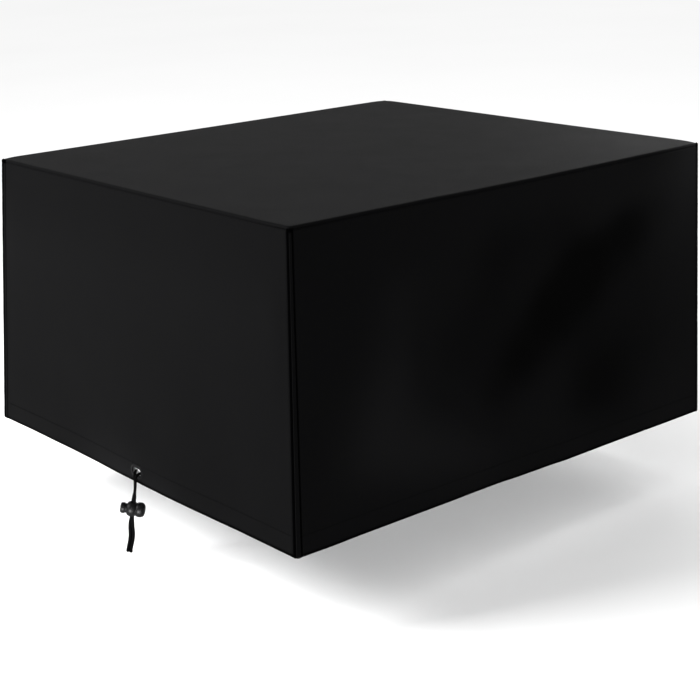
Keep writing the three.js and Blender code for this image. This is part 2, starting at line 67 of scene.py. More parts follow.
# The seam under the top's edge, and its section as (how far inwards, share of half its height)
SEAM_TOP_Z = -3.4
SEAM_LOW_Z = -6.2
SEAM_SET_BACK = 0.7
SEAM_PITCH = 3
SEAM_POINT_PITCH = 0.9
SEAM_RIPPLE = {"height": 0.18, "length": 9, "back": 0.5, "up": 0.3}
SEAM_SECTION = [
    (0.9, 0.9), (0.25, 0.72), (0, 0.3), (0.12, -0.05), (0, -0.4), (0.3, -0.78), (1, -1), (2.3, -1),
    (2.3, 0.9),
]

# Each corner's tape laps over one wall. The pairs say how far from the sharp corner its dark side, its strip
# and the dark line beside it end, at the top and at the hem. The dark side and the dark line are painted
# shade:
# very dark cloth where the seam's rolled edge and its groove lie in shade.
TAPES = {
    "front_left": {"wall": "front", "dark": (1.8, 2), "strip": (5.6, 11), "line": (10, 16)},
    "front_right": {"wall": "front", "dark": (6, 7), "strip": (11, 12.5), "line": (12, 13.5)},
    "back_right": {"wall": "back", "dark": (1.8, 2), "strip": (5.6, 11), "line": (10, 16)},
    "back_left": {"wall": "left", "dark": (15, 16), "strip": (23, 24), "line": (23.8, 24.8)},
}

# The tape's section, part by part, as (share of the way across, how proud)
TAPE_DARK_SIDE = [(0.01, -1), (0.06, 0.1), (0.16, 0.45), (0.35, 0.6), (0.6, 0.55), (0.85, 0.3), (1, -0.05)]
TAPE_STRIP = [
    (0.07, 0.5), (0.18, 0.85), (0.35, 1), (0.5, 1.05), (0.65, 1), (0.82, 0.85), (0.93, 0.5), (1, 0.05),
]
TAPE_LINE = [(0.14, 0), (0.5, 0.2), (0.85, 0.25), (1, -0.5)]
TAPE_DARK_TOP = 9
TAPE_TOP_DOWN = 1.6
TAPE_FLAT_UNIT = 10
TAPE_UNDER = -1.7
TAPE_LEAST_THICK = 0.2
TAPE_END_REACH = 1.6
TAPE_END_TUCK = 0.9
TAPE_WAVE = {"height": 0.28, "length": 33}
TAPE_PULL = {"height": 0.1, "pitch": 13}
TAPE_ROWS = [(EDGE_RADIUS + 0.4, 0.9), (40, 2.5), (WALL_DROP - 4, 4), (WALL_DROP, 1.3)]

# The hem, turned up inside and stitched
HEM_HEIGHT = 48
HEM_ROLL_RADIUS = 1.9
HEM_ROLL_STEPS = 6
HEM_STITCH_HEIGHT = 43
HEM_STITCH_DIP = 0.04
# The lowest band of the hem's face is painted very dark, as shade on its rolled edge
HEM_EDGE_HEIGHT = 6.2
HEM_SLACK = 0.35
HEM_CLOSES_FROM = 35
HEM_CLOSES_OVER = 8

# Stitches, and how far their rows stay from the ends
HEM_STITCH = {"pitch": 3.6, "length": 2.7, "thread": 0.7, "margin": 14.0, "lift": 0.1}
TAPE_STITCH = {"pitch": 3.5, "length": 2.6, "thread": 0.75, "margin": 4, "lift": 0.85}
TAPE_STITCH_LINES = (0.16, 0.84)
STITCH_RINGS = [(0, -0.25, 0.5), (0.2, 0.45, 1), (0.8, 0.45, 1), (1, -0.25, 0.5)]
STITCH_SIDES = 5

# The wall's margin under the top as (down, inward). Rows of points, here and in TAPE_ROWS, come in runs, as
# (where the run ends, how far apart its rows lie).
WALL_TOP_DOWN = 7.9
WALL_MARGIN = [(5, 4.2), (7.2, 3)]
TOP_SEAM_DIP = {"depth": 0.6, "reach": 1.6}
HEM_SEAM_DIP = {"depth": HEM_STITCH_DIP, "reach": 2.2}
FACE_ROWS = [
    (WALL_TOP_DOWN + 4, 1.3), (34, 4), (596, 7.5), (618, 2.2),
    (WALL_DROP - HEM_EDGE_HEIGHT, 2), (WALL_DROP - HEM_ROLL_RADIUS, 1.4),
]
INSIDE_ROWS = [(36, 2.2), (HEM_HEIGHT, 1.5)]

# The wall's columns, at its sewn ends as (how far past the corner's radius, how far it dips), and the share
# of the dip that the turned-up hem takes
WALL_ENDS = [(-3, 3.6), (-0.5, 2.5), (0.3, 1.3), (1.1, 0.75), (2.2, 0.3), (3.6, 0), (8, 0)]
HEM_DIP_SHARE = 0.3
COLUMNS_FROM = 24
COLUMN_PITCH = 5.5
EYELET_COLUMNS = {"reach": 26, "pitch": 2}

# Where each corner of the hem hangs, against a straight drop from the top's corner
CORNERS = {
    "front_left": {"side_x": -1, "side_y": -1, "out_x": 31.8, "out_y": 22.2, "rise": 2.1},
    "front_right": {"side_x": 1, "side_y": -1, "out_x": 16.1, "out_y": 16.4, "rise": -6.6},
    "back_right": {"side_x": 1, "side_y": 1, "out_x": 25, "out_y": 28, "rise": 0},
    "back_left": {"side_x": -1, "side_y": 1, "out_x": 41.2, "out_y": 37.5, "rise": 7.8},
}
WALLS = {
    "front": {"start": "front_left", "end": "front_right", "out": Vector((0, -1, 0))},
    "right": {"start": "front_right", "end": "back_right", "out": Vector((1, 0, 0))},
    "back": {"start": "back_right", "end": "back_left", "out": Vector((0, 1, 0))},
    "left": {"start": "back_left", "end": "front_left", "out": Vector((-1, 0, 0))},
}

# How far the top's edge lies under its corners, at shares of the way along
EDGE_LINES = {
    "front": [
        (0, -0.9), (0.1, -1.1), (0.28, 0), (0.42, 1.9), (0.55, 2.6), (0.75, 2.4), (0.93, 1.7), (1, 0.6),
    ],
    "right": [(0, 0), (0.4, 0.6), (1, 0)],
    "back": [(0, 0), (0.5, 0.6), (1, 0)],
    "left": [(0, 0), (0.5, 0.1), (1, -0.9)],
}
EDGE_SAG_REACH = 55

# How far the hem hangs under the straight line between its corners, at shares of the way along
HEM_LINES = {
    "front": [
        (0, 0), (0.07, 0.5), (0.14, -1), (0.24, -1.3), (0.32, -1.8), (0.39, -3.1), (0.44, -3), (0.51, -0.8),
        (0.56, -0.1), (0.63, 1.8), (0.69, 2), (0.77, 1.6), (0.85, 0.8), (0.93, 0.6), (1, 0),
    ],
    "right": [(0, 0), (0.3, 1.2), (0.65, -1.4), (1, 0)],
    "back": [(0, 0), (0.25, -1.5), (0.6, 1.6), (0.85, -0.5), (1, 0)],
    "left": [
        (0, 0), (0.14, -1.3), (0.26, -1.1), (0.36, 0.1), (0.48, 2.2), (0.56, 3.6), (0.62, 4.2), (0.68, 3.8),
        (0.76, 2.6), (0.85, 1), (0.93, 0.3), (1, 0),
    ],
}

# Soft folds: from (along, down) to (along, down) on the wall, how wide and how far out
FOLD_FADE_TOP = 210
FOLD_FADE_SIDE = 70
FOLD_FADE_HEM = 150
FOLD_LEFT_AT_HEM = 0.45
FOLDS = {
    "front": [
        (1060, 95, 1000, 125, 74, -4.2),
        (930, 164, 850, 210, 76, -5.6),
        (785, 250, 740, 280, 80, -7),
        (675, 335, 650, 365, 70, -4),
        (590, 408, 548, 448, 76, -4.2),
        (820, 390, 860, 460, 130, -2.5),
        (880, 525, 920, 590, 125, -3.4),
        (560, 85, 730, 75, 95, -5.5),
        (530, 260, 430, 330, 115, -3),
        (1010, 290, 1040, 400, 150, -3),
        (268, 180, 262, 320, 90, 2.4),
        (230, 470, 470, 600, 130, 4.5),
    ],
    "right": [(210, 160, 420, 470, 110, -6), (620, 330, 700, 560, 130, 4), (900, 180, 800, 420, 100, -5)],
    "back": [(330, 300, 230, 560, 120, -6), (640, 180, 700, 430, 140, -5.5), (960, 420, 900, 590, 130, 4)],
    "left": [
        (80, 170, 1040, 130, 190, 2.6), (230, 480, 330, 580, 110, -2.5), (850, 430, 930, 590, 110, -2.5),
    ],
}

# The folds' painted shade and light: the cloth's colour is painted darker where a fold sinks in, as shade,
# and lighter where a fold swells out, as light. How much of it each wall takes, how deep or high a fold takes
# it in full, and how far the surface's normal leans in a hollow
FOLD_SHADE = {"front": 1, "right": 0.4, "back": 0.4, "left": 0.35}
HOLLOW_FULL = 9
CREST_FULL = 8
HOLLOW_TURN = (-0.42, 0.0, 0.2)

# Shallow waves of the cloth as (length along, length down, height), and short puckers beside its seams
WAVES = [(190, 260, 0.9), (70, 95, 0.25)]
WAVES_FADE_SIDE = 45
WAVES_FADE_FROM = 8
WAVES_FADE_DOWN = 60
PUCKER_PITCH = 17
PUCKER_HEIGHT = 0.32
PUCKER_REACH = 16
PUCKER_HEM_REACH = 14
PUCKER_SIDE_FADE = 30
PUCKER_SIDE_AT = 12
PUCKER_SIDE_REACH = 12
PUCKER_SIDE_FADE_DOWN = 60

# Slow random changes along a line, as (amount, length, seed)
PUCKER_WANDER = (0.6, 60, 3.1)
PUCKER_STRENGTH = (0.5, 85, 8.4)
PUCKER_SIDE_WANDER = (0.5, 70, 5.2)
SEAM_DRIFT = (0.25, 25, 0.3)
TAPE_WANDER = (2, 40, 1.0)
CORD_FRAY = (0.06, 5, 1.0)

# The oval eyelet in the left wall's hem, and the pocket in the hem behind it
EYELET_ALONG = 596.3
EYELET_ABOVE_HEM = 26.5
EYELET_STRAIGHT = 8.5
EYELET_RADIUS = 8
EYELET_CUT = 3.2
EYELET_STEPS = 28
EYELET_SECTION_STEPS = 3
POCKET_DEPTH = 9.5
POCKET_SHOWS = 3.0
POCKET_SHOWS_SHIFT = -1
POCKET_SHOWS_REACH = 6
POCKET_SHOWS_FROM = 20
POCKET_SHOWS_RISE = 8
POCKET_GAP = 1.2
POCKET_HALF_LENGTH = 78
POCKET_HALF_HEIGHT = 16.5

# The eyelet's section as (how far outside its hole, how high above the cloth)
EYELET_SECTION = [
    (0, -1.6), (0, 0.6), (0.45, 1.35), (1.7, 1.9), (3.6, 1.8), (5.6, 1.2), (6.9, 0.45), (7.0, 0.05),
    (6.0, 0.02), (1.3, 0.02), (1.3, -0.9), (5.2, -1.0), (5.4, -1.3), (4.8, -1.6), (0.8, -1.8),
]

# The drawcord's two strands, with the points of their solids. Their blunt end is rings of (how far in, share
# of the radius), and below the lock they swell a little.
CORD_DIAMETER = 6.4
CORD_SIDES = 20
CORD_STEPS = 7
CORD_END = [(0.0, 0.02), (0.0, 0.6), (0.0, 0.9), (0.5, 1.0)]
CORD_SWELL = 0.15
CORD_SWELLS_BELOW = -723
CORD_SWELLS_OVER = 14
DRAWCORD_LEFT = [
    (-632.5, -0.2, -622.3), (-634.8, -2.7, -622.3), (-637.2, -5.2, -622.3), (-639.5, -7.7, -622.7),
    (-641.7, -10.0, -624.0), (-643.5, -12.1, -625.9), (-644.9, -13.8, -628.6), (-645.8, -15.0, -631.8),
    (-646.0, -15.7, -635.3), (-645.8, -15.5, -644.8), (-645.9, -14.7, -652.2), (-646.3, -13.4, -659.7),
    (-647.0, -11.4, -667.6), (-648.2, -9.4, -675.1), (-649.2, -7.7, -682.0), (-649.9, -6.6, -688.8),
    (-652.1, -4.7, -705.3), (-654.3, -2.7, -721.9), (-655.4, -1.8, -729.2), (-657.3, -1.1, -738.1),
    (-658.9, -0.9, -747.3), (-659.6, -1.4, -756.0), (-659.9, -1.4, -765.9), (-660.8, -0.5, -774.8),
    (-661.9, 1.0, -784.1), (-663.5, 2.5, -792.7), (-665.3, 3.8, -801.7), (-666.1, 4.3, -807.2),
]
DRAWCORD_RIGHT = [
    (-632.3, -21.9, -622.7), (-635.8, -22.2, -622.7), (-639.3, -22.5, -622.9), (-642.6, -22.9, -623.9),
    (-645.6, -23.2, -625.6), (-648.1, -23.4, -628.1), (-649.9, -23.5, -631.1), (-650.9, -23.5, -634.9),
    (-651.0, -22.7, -644.8), (-650.5, -21.0, -652.2), (-650.3, -19.1, -659.7), (-650.2, -17.4, -667.6),
    (-650.0, -16.2, -675.1), (-650.1, -14.6, -682.0), (-650.4, -13.4, -688.8), (-652.6, -11.4, -705.3),
    (-654.8, -9.4, -721.9), (-655.4, -8.7, -729.2), (-655.2, -7.9, -738.1), (-654.8, -6.9, -747.3),
    (-654.1, -6.1, -756.0), (-654.0, -5.5, -765.9), (-655.2, -5.1, -774.8), (-657.0, -4.3, -784.1),
    (-658.6, -2.7, -792.7), (-660.3, -1.2, -801.7), (-661.0, -0.7, -808.8),
]

# The cord lock as (u, radius), where u runs along its axis from the closed end to the button
LOCK_CENTRE = Vector((-652.35, -8.03, -705.33))
LOCK_AXIS = Vector((-0.752, 0.637, 0.173)).normalized()
LOCK_SEGMENTS = 72
LOCK_STEPS = 4
LOCK_OUTSIDE = [
    (-27.5, 0.001), (-27.4, 6.5), (-26.2, 11), (-23.7, 14.4), (-20, 16.2), (-15.5, 16.6), (-11.5, 16.1),
    (-8.8, 14.9), (-7.6, 14.2), (-6.4, 14.9), (-3.8, 16.4), (-0.6, 17.2), (2.6, 17.4), (6, 17), (9.2, 15.8),
    (11.6, 14.2), (12.5, 13),
]
LOCK_BORE = [(12.6, 12), (12.3, 11.2), (11.6, 10.95), (-20, 10.9), (-20, 0.001)]
BUTTON_TRAVEL = 4
BUTTON_STEM = [(-14.5, 0.001), (-14.5, 10.2), (-14.1, 10.6), (17.4, 10.6)]
BUTTON_HEAD = [
    (17.4, 11.3), (18.2, 11.9), (22.4, 12), (25, 11.6), (26.8, 9.8), (27.5, 7), (27.2, 4), (26.9, 0.001),
]

# The hole that the cord passes through
CORD_HOLE_RADIUS = 6.9
CORD_HOLE_STEPS = 24
CORD_HOLE_BEVEL = 0.55
CORD_HOLE_BEVEL_ANGLE = math.radians(38)
CUTTER_REACH = 30

# The materials' noises: scale, detail and roughness
NOISES = {
    "mottle": (9, 4, 0.6), "slub": (420, 2, 0.6), "crease": (26, 5, 0.55),
    "cloud": (14, 4, 0.6), "soft_crease": (30, 5, 0.55),
    "fuzz": (900, 2, 0.6), "grain": (1500, 3, 0.6), "wear": (60, 3, 0.6),
    "chips": (160, 4, 0.7), "twist": (1800, 2, 0.5), "floor": (0.7, 2, 0.5),
}

# Dark and light colours
CLOTH_COLOURS = ((0.0004, 0.0004, 0.0005), (0.0019, 0.0019, 0.0021))
# Painted shade: the colour that the cloth is blended towards where a fold sinks in, darker as if shaded
PAINTED_HOLLOW_SHADE_COLOUR = (0.0001, 0.0001, 0.0001)
# Painted light: the colour that the cloth is blended towards where a fold swells out, lighter as if lit
PAINTED_CREST_LIGHT_COLOUR = (0.0055, 0.0055, 0.0058)
TAPE_COLOURS = ((0.0006, 0.0006, 0.0007), (0.0026, 0.0026, 0.0028))
# Painted shade: very dark cloth for the hem's rolled edge, and for the tapes' dark sides and dark lines
EDGE_SHADE_COLOURS = ((0.0002, 0.0002, 0.0002), (0.0008, 0.0008, 0.0009))
COATED_COLOURS = ((0.8, 0.805, 0.81), (0.93, 0.93, 0.935))
CORD_COLOURS = ((0.0001, 0.0001, 0.0001), (0.0006, 0.0006, 0.0007))
METAL_COLOURS = ((0.0008, 0.0008, 0.0009), (0.004, 0.004, 0.0043))
PLASTIC_COLOURS = ((0.0005, 0.0005, 0.0006), (0.0015, 0.0015, 0.0016))
THREAD_COLOURS = ((0.0012, 0.0012, 0.0012), (0.0044, 0.0044, 0.0045))
FLOOR_COLOURS = ((0.9, 0.9, 0.9), (0.93, 0.93, 0.93))

# The camera of the photograph
CAMERA_PLACE = Vector((-2318.0, -2768.3, 629.1))
CAMERA_YAW = math.radians(50.167)
CAMERA_PITCH = math.radians(17.153)
CAMERA_ROLL = math.radians(-1.755)
CAMERA_LENS = 80.246
CAMERA_SENSOR = 36
CAMERA_SEES_TO = 50

FLOOR_Z = -835
FLOOR_REACH = 40000

# The lights: place, target and size in metres, power in watts and spread in degrees
LIGHTS = {
    "key_left": ((-3.6, 1.6, 2.2), (-0.6, 0.2, -0.2), (2.0, 2.0), 340, 180),
    "corner_right": ((0.73, -0.67, 0.12), (0.62, -0.56, -0.04), (0.12, 0.12), 0.27, 60),
    "sheen_right": ((1.9, 0.4, 0.6), (0.4, -0.3, 0.0), (0.8, 0.8), 7.5, 180),
    "lock_glint": ((-0.89, -0.16, -0.8), LOCK_CENTRE * MM - Vector((0, 0, 0.05)), (0.26, 0.22), 1.3, 40),
}


def mix(a, b, share):
    return a + (b - a) * share


def clamp(share):
    return min(1.0, max(0.0, share))


def smooth(share):
    s = clamp(share)
    return s * s * (3 - 2 * s)


def bell(reach):
    """1 at a reach of 0, less to both sides."""
    return math.exp(-reach ** 2)


def noise_at(x, y, z):
    return noise.noise(Vector((x, y, z)))


def drift(place, line, amount, length, seed):
    """A slow random change along a line, which has a number."""
    return amount * noise_at(place / length, line, seed)


def between(start, end, pitch):
    """Places from start to end, both included, about a pitch apart."""
    count = max(1, round(abs(end - start) / pitch))
    return [mix(start, end, i / count) for i in range(count + 1)]


def stations(start, runs):
    """Places from a start, in runs that each say where they end and how far apart their places are."""
    places = [start]
    for end, pitch in runs:
        places += between(start, end, pitch)[1:]
        start = end
    return places


def line_at(rows, place):
    """The height in a table of (place, height), with a soft course between its rows."""
    for (before, low), (after, high) in zip(rows, rows[1:]):
        if place <= after:
            return mix(low, high, smooth((place - before) / (after - before)))
    return rows[-1][1]


def passing(p, q, start, end, t):
    """A point of the straight way from p, passed at a start, to q, passed at an end."""
    return p * ((end - t) / (end - start)) + q * ((t - start) / (end - start))


def spline(points, steps):
    """A smooth line through points, which passes each of them."""
    points = [Vector(p) for p in points]
    first = points[0] * 2 - points[1]
    last = points[-1] * 2 - points[-2]
    points = [first, *points, last]
    line = []
    for i in range(1, len(points) - 2):
        p0, p1, p2, p3 = points[i - 1:i + 3]
        t1 = (p1 - p0).length ** 0.5
        t2 = t1 + (p2 - p1).length ** 0.5
        t3 = t2 + (p3 - p2).length ** 0.5
        for k in range(steps):
            t = mix(t1, t2, k / steps)
            a1 = passing(p0, p1, 0, t1, t)
            a2 = passing(p1, p2, t1, t2, t)
            a3 = passing(p2, p3, t2, t3, t)
            b1 = passing(a1, a2, 0, t2, t)
            b2 = passing(a2, a3, t1, t3, t)
            line.append(passing(b1, b2, t1, t2, t))
    line.append(points[-2])
    return line


def flat_spline(points, steps):
    """A smooth line through points of a plane."""
    return [(p.x, p.y) for p in spline([(*p, 0) for p in points], steps)]


def line_length(line):
    return sum((b - a).length for a, b in zip(line, line[1:]))


def oval(low, high, radius, steps):
    """An oval's outline: half a circle round high, and then half a circle round low."""
    outline = []
    for centre, start in ((high, 0), (low, math.pi)):
        for i in range(steps + 1):
            angle = start - math.pi / 2 + math.pi * i / steps
            outline.append((centre + radius * math.cos(angle), radius * math.sin(angle)))
    return outline


def placed(centre, *axes):
    """The matrix that puts a thing at a place, with its X, Y and Z along three axes."""
    return Matrix.Translation(centre) @ Matrix(axes).transposed().to_4x4()


# Materials


class Graph:
    """A material and short calls that add nodes to it."""

    def __init__(self, name):
        self.material = bpy.data.materials.new(name)
        self.material.use_nodes = True
        self.tree = self.material.node_tree
        self.tree.nodes.clear()
        self.shader = self.tree.nodes.new("ShaderNodeBsdfPrincipled")
        self.add("OutputMaterial", {"Surface": self.shader.outputs["BSDF"]})

    def feed(self, socket, value):
        """Links a node's output to a socket, or sets the socket to a value."""
        if isinstance(value, bpy.types.NodeSocket):
            self.tree.links.new(value, socket)
        elif socket.type == "RGBA":
            socket.default_value = (*value, 1.0)
        else:
            socket.default_value = value

    def add(self, kind, inputs, **settings):
        """A node of a kind, with its settings and what its inputs are fed. It gives the node's outputs."""
        node = self.tree.nodes.new("ShaderNode" + kind)
        for setting, value in settings.items():
            setattr(node, setting, value)
        for place, value in inputs.items():
            self.feed(node.inputs[place], value)
        return node.outputs

    def surface(self, **sockets):
        """Feeds the shader's sockets, and gives the material."""
        for name, value in sockets.items():
            self.feed(self.shader.inputs[name.replace("_", " ")], value)
        return self.material

    def math(self, operation, a, b=0.0):
        return self.add("Math", {0: a, 1: b}, operation=operation)[0]

    def weighted(self, *parts):
        """The sum of values, each times its share."""
        scaled = [self.math("MULTIPLY", value, share) for value, share in parts]
        total = scaled[0]
        for value in scaled[1:]:
            total = self.math("ADD", total, value)
        return total

    def coordinates(self, kind):
        return self.add("TexCoord", {})[kind]

    def axes(self, vector):
        return self.add("SeparateXYZ", {0: vector})

    def attribute(self, name):
        return self.add("Attribute", {}, attribute_name=name)["Fac"]

    def turned(self, normal, turn, amount):
        """A normal that leans by an amount of a fixed turn."""
        lean = self.add("VectorMath", {"Scale": amount, 0: turn}, operation="SCALE")[0]
        total = self.add("VectorMath", {0: normal, 1: lean}, operation="ADD")[0]
        return self.add("VectorMath", {0: total}, operation="NORMALIZE")[0]

    def noise(self, name):
        """One of the noises, over the piece's own coordinates."""
        inputs = dict(zip(("Scale", "Detail", "Roughness"), NOISES[name]))
        return self.add("TexNoise", {"Vector": self.coordinates("Object"), **inputs})["Fac"]

    def ramp(self, value, low, high):
        """Turns a value from 0 to 1 into one from low to high."""
        return self.add("MapRange", {"Value": value, "To Min": low, "To Max": high})["Result"]

    def blend(self, share, low, high):
        """A colour between two others."""
        return self.add("Mix", {0: share, 6: low, 7: high}, data_type="RGBA")[2]

    def bump(self, height, distance, strength, normal=None):
        inputs = {"Height": height, "Distance": distance * MM, "Strength": strength}
        if normal is not None:
            inputs["Normal"] = normal
        return self.add("Bump", inputs)["Normal"]

    def weave(self, pitch):
        """A plain weave's height: threads pass over and under each other in turn."""
        x, y, _ = self.axes(self.coordinates("UV"))
        across = self.math("SINE", self.math("MULTIPLY", x, math.pi / (pitch * MM)))
        along = self.math("SINE", self.math("MULTIPLY", y, math.pi / (pitch * MM)))
        over = self.math("GREATER_THAN", self.math("MULTIPLY", across, along), 0.0)
        under = self.math("SUBTRACT", 1.0, over)
        warp = self.math("MULTIPLY", over, self.math("ABSOLUTE", across))
        weft = self.math("MULTIPLY", under, self.math("ABSOLUTE", along))
        return self.math("ADD", warp, weft)


def cloth_material(name, colours, pitch, rough, sheen, gloss):
    """Woven cloth with faint mottling and small creases. Its colour is painted darker where a fold sinks in,
    as shade, and lighter where a fold swells out, as light.
    """
    graph = Graph(name)
    weave = graph.weave(pitch)
    mottle = graph.noise("mottle")
    tone = graph.weighted((weave, 0.45), (graph.noise("slub"), 0.25), (mottle, 0.3))
    hollow = graph.attribute("hollow")
    # Painted shade: the colour is blended darker by the hollow mask, as if the folds were shaded where they
    # sink in
    colour = graph.blend(hollow, graph.blend(tone, *colours), PAINTED_HOLLOW_SHADE_COLOUR)
    normal = graph.bump(graph.noise("crease"), distance=0.5, strength=0.35)
    normal = graph.bump(weave, distance=0.09, strength=0.8, normal=normal)
    return graph.surface(
        # Painted light: the colour is blended lighter by the crest mask, as if light fell on the folds where
        # they swell out
        Base_Color=graph.blend(graph.attribute("crest"), colour, PAINTED_CREST_LIGHT_COLOUR),
        Roughness=graph.ramp(mottle, rough - 0.06, rough + 0.06),
        Normal=graph.turned(normal, HOLLOW_TURN, hollow),
        Specular_IOR_Level=gloss,
        Sheen_Weight=sheen,
        Sheen_Roughness=0.5,
    )


def cord_material(name, colours, turns, pitch, gloss):
    """A braided cord: two sets of strands cross each other. v runs along the cord, in metres."""
    graph = Graph(name)
    u, v, _ = graph.axes(graph.coordinates("UV"))
    turn = graph.math("MULTIPLY", u, TAU * turns)
    run = graph.math("MULTIPLY", v, TAU / (pitch * MM))
    left = graph.math("SINE", graph.math("ADD", run, turn))
    right = graph.math("SINE", graph.math("SUBTRACT", run, turn))
    height = graph.ramp(graph.math("MAXIMUM", left, right), 0.35, 0.75)
    fuzz = graph.noise("fuzz")
    normal = graph.bump(height, distance=0.7, strength=0.9)
    return graph.surface(
        Base_Color=graph.blend(graph.weighted((height, 0.7), (fuzz, 0.3)), *colours),
        Roughness=graph.ramp(fuzz, 0.6, 0.85),
        Normal=graph.bump(fuzz, distance=0.1, strength=0.5, normal=normal),
        Specular_IOR_Level=gloss,
    )


def coated_material(name, colours, pitch):
    """The cloth's silver-grey coated inside: the weave shows through softly."""
    graph = Graph(name)
    weave = graph.weave(pitch)
    cloud = graph.noise("cloud")
    normal = graph.bump(graph.noise("soft_crease"), distance=0.5, strength=0.4)
    return graph.surface(
        Base_Color=graph.blend(graph.weighted((cloud, 0.8), (weave, 0.2)), *colours),
        Roughness=graph.ramp(cloud, 0.36, 0.5),
        Normal=graph.bump(weave, distance=0.05, strength=0.5, normal=normal),
        Metallic=0.05,
    )


def plain_material(name, colours, shade, relief, rough, distance, strength, gloss):
    """One noise shades the colour and the roughness, and one gives the relief."""
    graph = Graph(name)
    tone = graph.noise(shade)
    return graph.surface(
        Base_Color=graph.blend(tone, *colours),
        Roughness=graph.ramp(tone, *rough),
        Normal=graph.bump(graph.noise(relief), distance, strength),
        Specular_IOR_Level=gloss,
    )


CLOTH = cloth_material("oxford_cloth", CLOTH_COLOURS, pitch=0.9, rough=0.7, sheen=0.008, gloss=0.018)
BINDING = cloth_material("binding_tape", TAPE_COLOURS, pitch=0.7, rough=0.84, sheen=0.01, gloss=0.02)
# Painted shade: very dark, with no gloss and no sheen, where edges and grooves lie in shade
EDGE_SHADE_PAINT = cloth_material("painted_edge_shade", EDGE_SHADE_COLOURS, pitch=0.7, rough=0.9, sheen=0.0, gloss=0.0)
WELT = cloth_material("seam_welt", CLOTH_COLOURS, pitch=0.7, rough=0.8, sheen=0.006, gloss=0.014)
COATED = coated_material("coated_inside", COATED_COLOURS, pitch=0.9)
CORD = cord_material("braided_cord", CORD_COLOURS, turns=4, pitch=5.2, gloss=0.015)
METAL = plain_material("black_metal", METAL_COLOURS, "chips", "chips", (0.4, 0.6), 0.04, 0.4, gloss=0.04)
LOCK = plain_material("satin_plastic", PLASTIC_COLOURS, "wear", "grain", (0.34, 0.52), 0.05, 0.5, gloss=0.07)
THREAD = plain_material("sewing_thread", THREAD_COLOURS, "twist", "twist", (0.7, 0.9), 0.1, 0.6, gloss=0.03)


# Making pieces


def add_object(name, data):
    thing = bpy.data.objects.new(name, data)
    bpy.context.scene.collection.objects.link(thing)
    return thing


def add_modifier(piece, name, kind, **settings):
    modifier = piece.modifiers.new(name, kind)
    for setting, value in settings.items():
        setattr(modifier, setting, value)


def add_piece(name, points, faces, materials, uvs=None, face_slots=None):
    """A mesh piece, from points in millimetres. uvs holds one (u, v) for each point."""
    mesh = bpy.data.meshes.new(name)
    mesh.from_pydata([tuple(Vector(p) * MM) for p in points], [], faces)
    for material in materials:
        mesh.materials.append(material)
    if uvs is not None:
        layer = mesh.uv_layers.new(name="cloth")
        for loop in mesh.loops:
            layer.data[loop.index].uv = uvs[loop.vertex_index]
    if face_slots is not None:
        mesh.polygons.foreach_set("material_index", face_slots)
    mesh.polygons.foreach_set("use_smooth", [True] * len(mesh.polygons))
    return add_object(name, mesh)


def add_closed_piece(*parts):
    """A piece whose faces close round it. They are made to point outwards."""
    piece = add_piece(*parts)
    work = bmesh.new()
    work.from_mesh(piece.data)
    bmesh.ops.recalc_face_normals(work, faces=work.faces)
    work.to_mesh(piece.data)
    work.free()
    return piece


def thicken(piece):
    """Gives a sheet the cloth's thickness, inwards, with the coated side on the inside."""
    add_modifier(
        piece, "cloth_thickness", "SOLIDIFY", thickness=CLOTH_THICK * MM, offset=-1,
        material_offset=1, material_offset_rim=0, use_even_offset=False,
    )


def grid_faces(rows, columns, skip=()):
    """Faces over a grid of points, without those to skip as (row, column)."""
    faces = []
    for r in range(rows - 1):
        for c in range(columns - 1):
            if (r, c) not in skip:
                a = r * columns + c
                faces.append((a, a + columns, a + columns + 1, a + 1))
    return faces


def ring_faces(rings, count, closed=False):
    """Faces over rings of points, capped at both ends or closed on themselves."""
    faces = []
    for ring in range(rings if closed else rings - 1):
        after = (ring + 1) % rings
        for i in range(count):
            j = (i + 1) % count
            faces.append((ring * count + i, ring * count + j, after * count + j, after * count + i))
    if not closed:
        faces.append(tuple(reversed(range(count))))
        faces.append(tuple((rings - 1) * count + i for i in range(count)))
    return faces


# The walls. A share is how far down a wall something lies, from 0 at the top to 1 at the hem.


def corner_at(name, share):
    """The sharp corner of the walls' faces."""
    corner = CORNERS[name]
    return Vector((
        corner["side_x"] * (TOP_LENGTH / 2 + corner["out_x"] * share),
        corner["side_y"] * (TOP_WIDTH / 2 + corner["out_y"] * share),
        TOP_Z - (WALL_DROP - corner["rise"]) * share,
    ))


def corner_radius(share):
    return mix(CORNER_RADIUS_TOP, CORNER_RADIUS_HEM, share)


def wall_length(name, share):
    """A wall's length between its sharp corners."""
    wall = WALLS[name]
    return (corner_at(wall["start"], share) - corner_at(wall["end"], share)).length


def fold_at(name, along, down, length):
    """How far a wall swells out at a place, from its folds."""
    out = 0.0
    for start_along, start_down, end_along, end_down, spread, height in FOLDS[name]:
        run_x = end_along - start_along
        run_y = end_down - start_down
        share = (along - start_along) * run_x + (down - start_down) * run_y
        near = clamp(share / (run_x ** 2 + run_y ** 2))
        away_x = along - start_along - run_x * near
        away_y = down - start_down - run_y * near
        out += height * math.exp(-(away_x ** 2 + away_y ** 2) / spread ** 2)
    sides = smooth(min(along, length - along) / FOLD_FADE_SIDE)
    hem = mix(1, FOLD_LEFT_AT_HEM, smooth((down - WALL_DROP + FOLD_FADE_HEM) / FOLD_FADE_HEM))
    return out * smooth(down / FOLD_FADE_TOP) * sides * hem


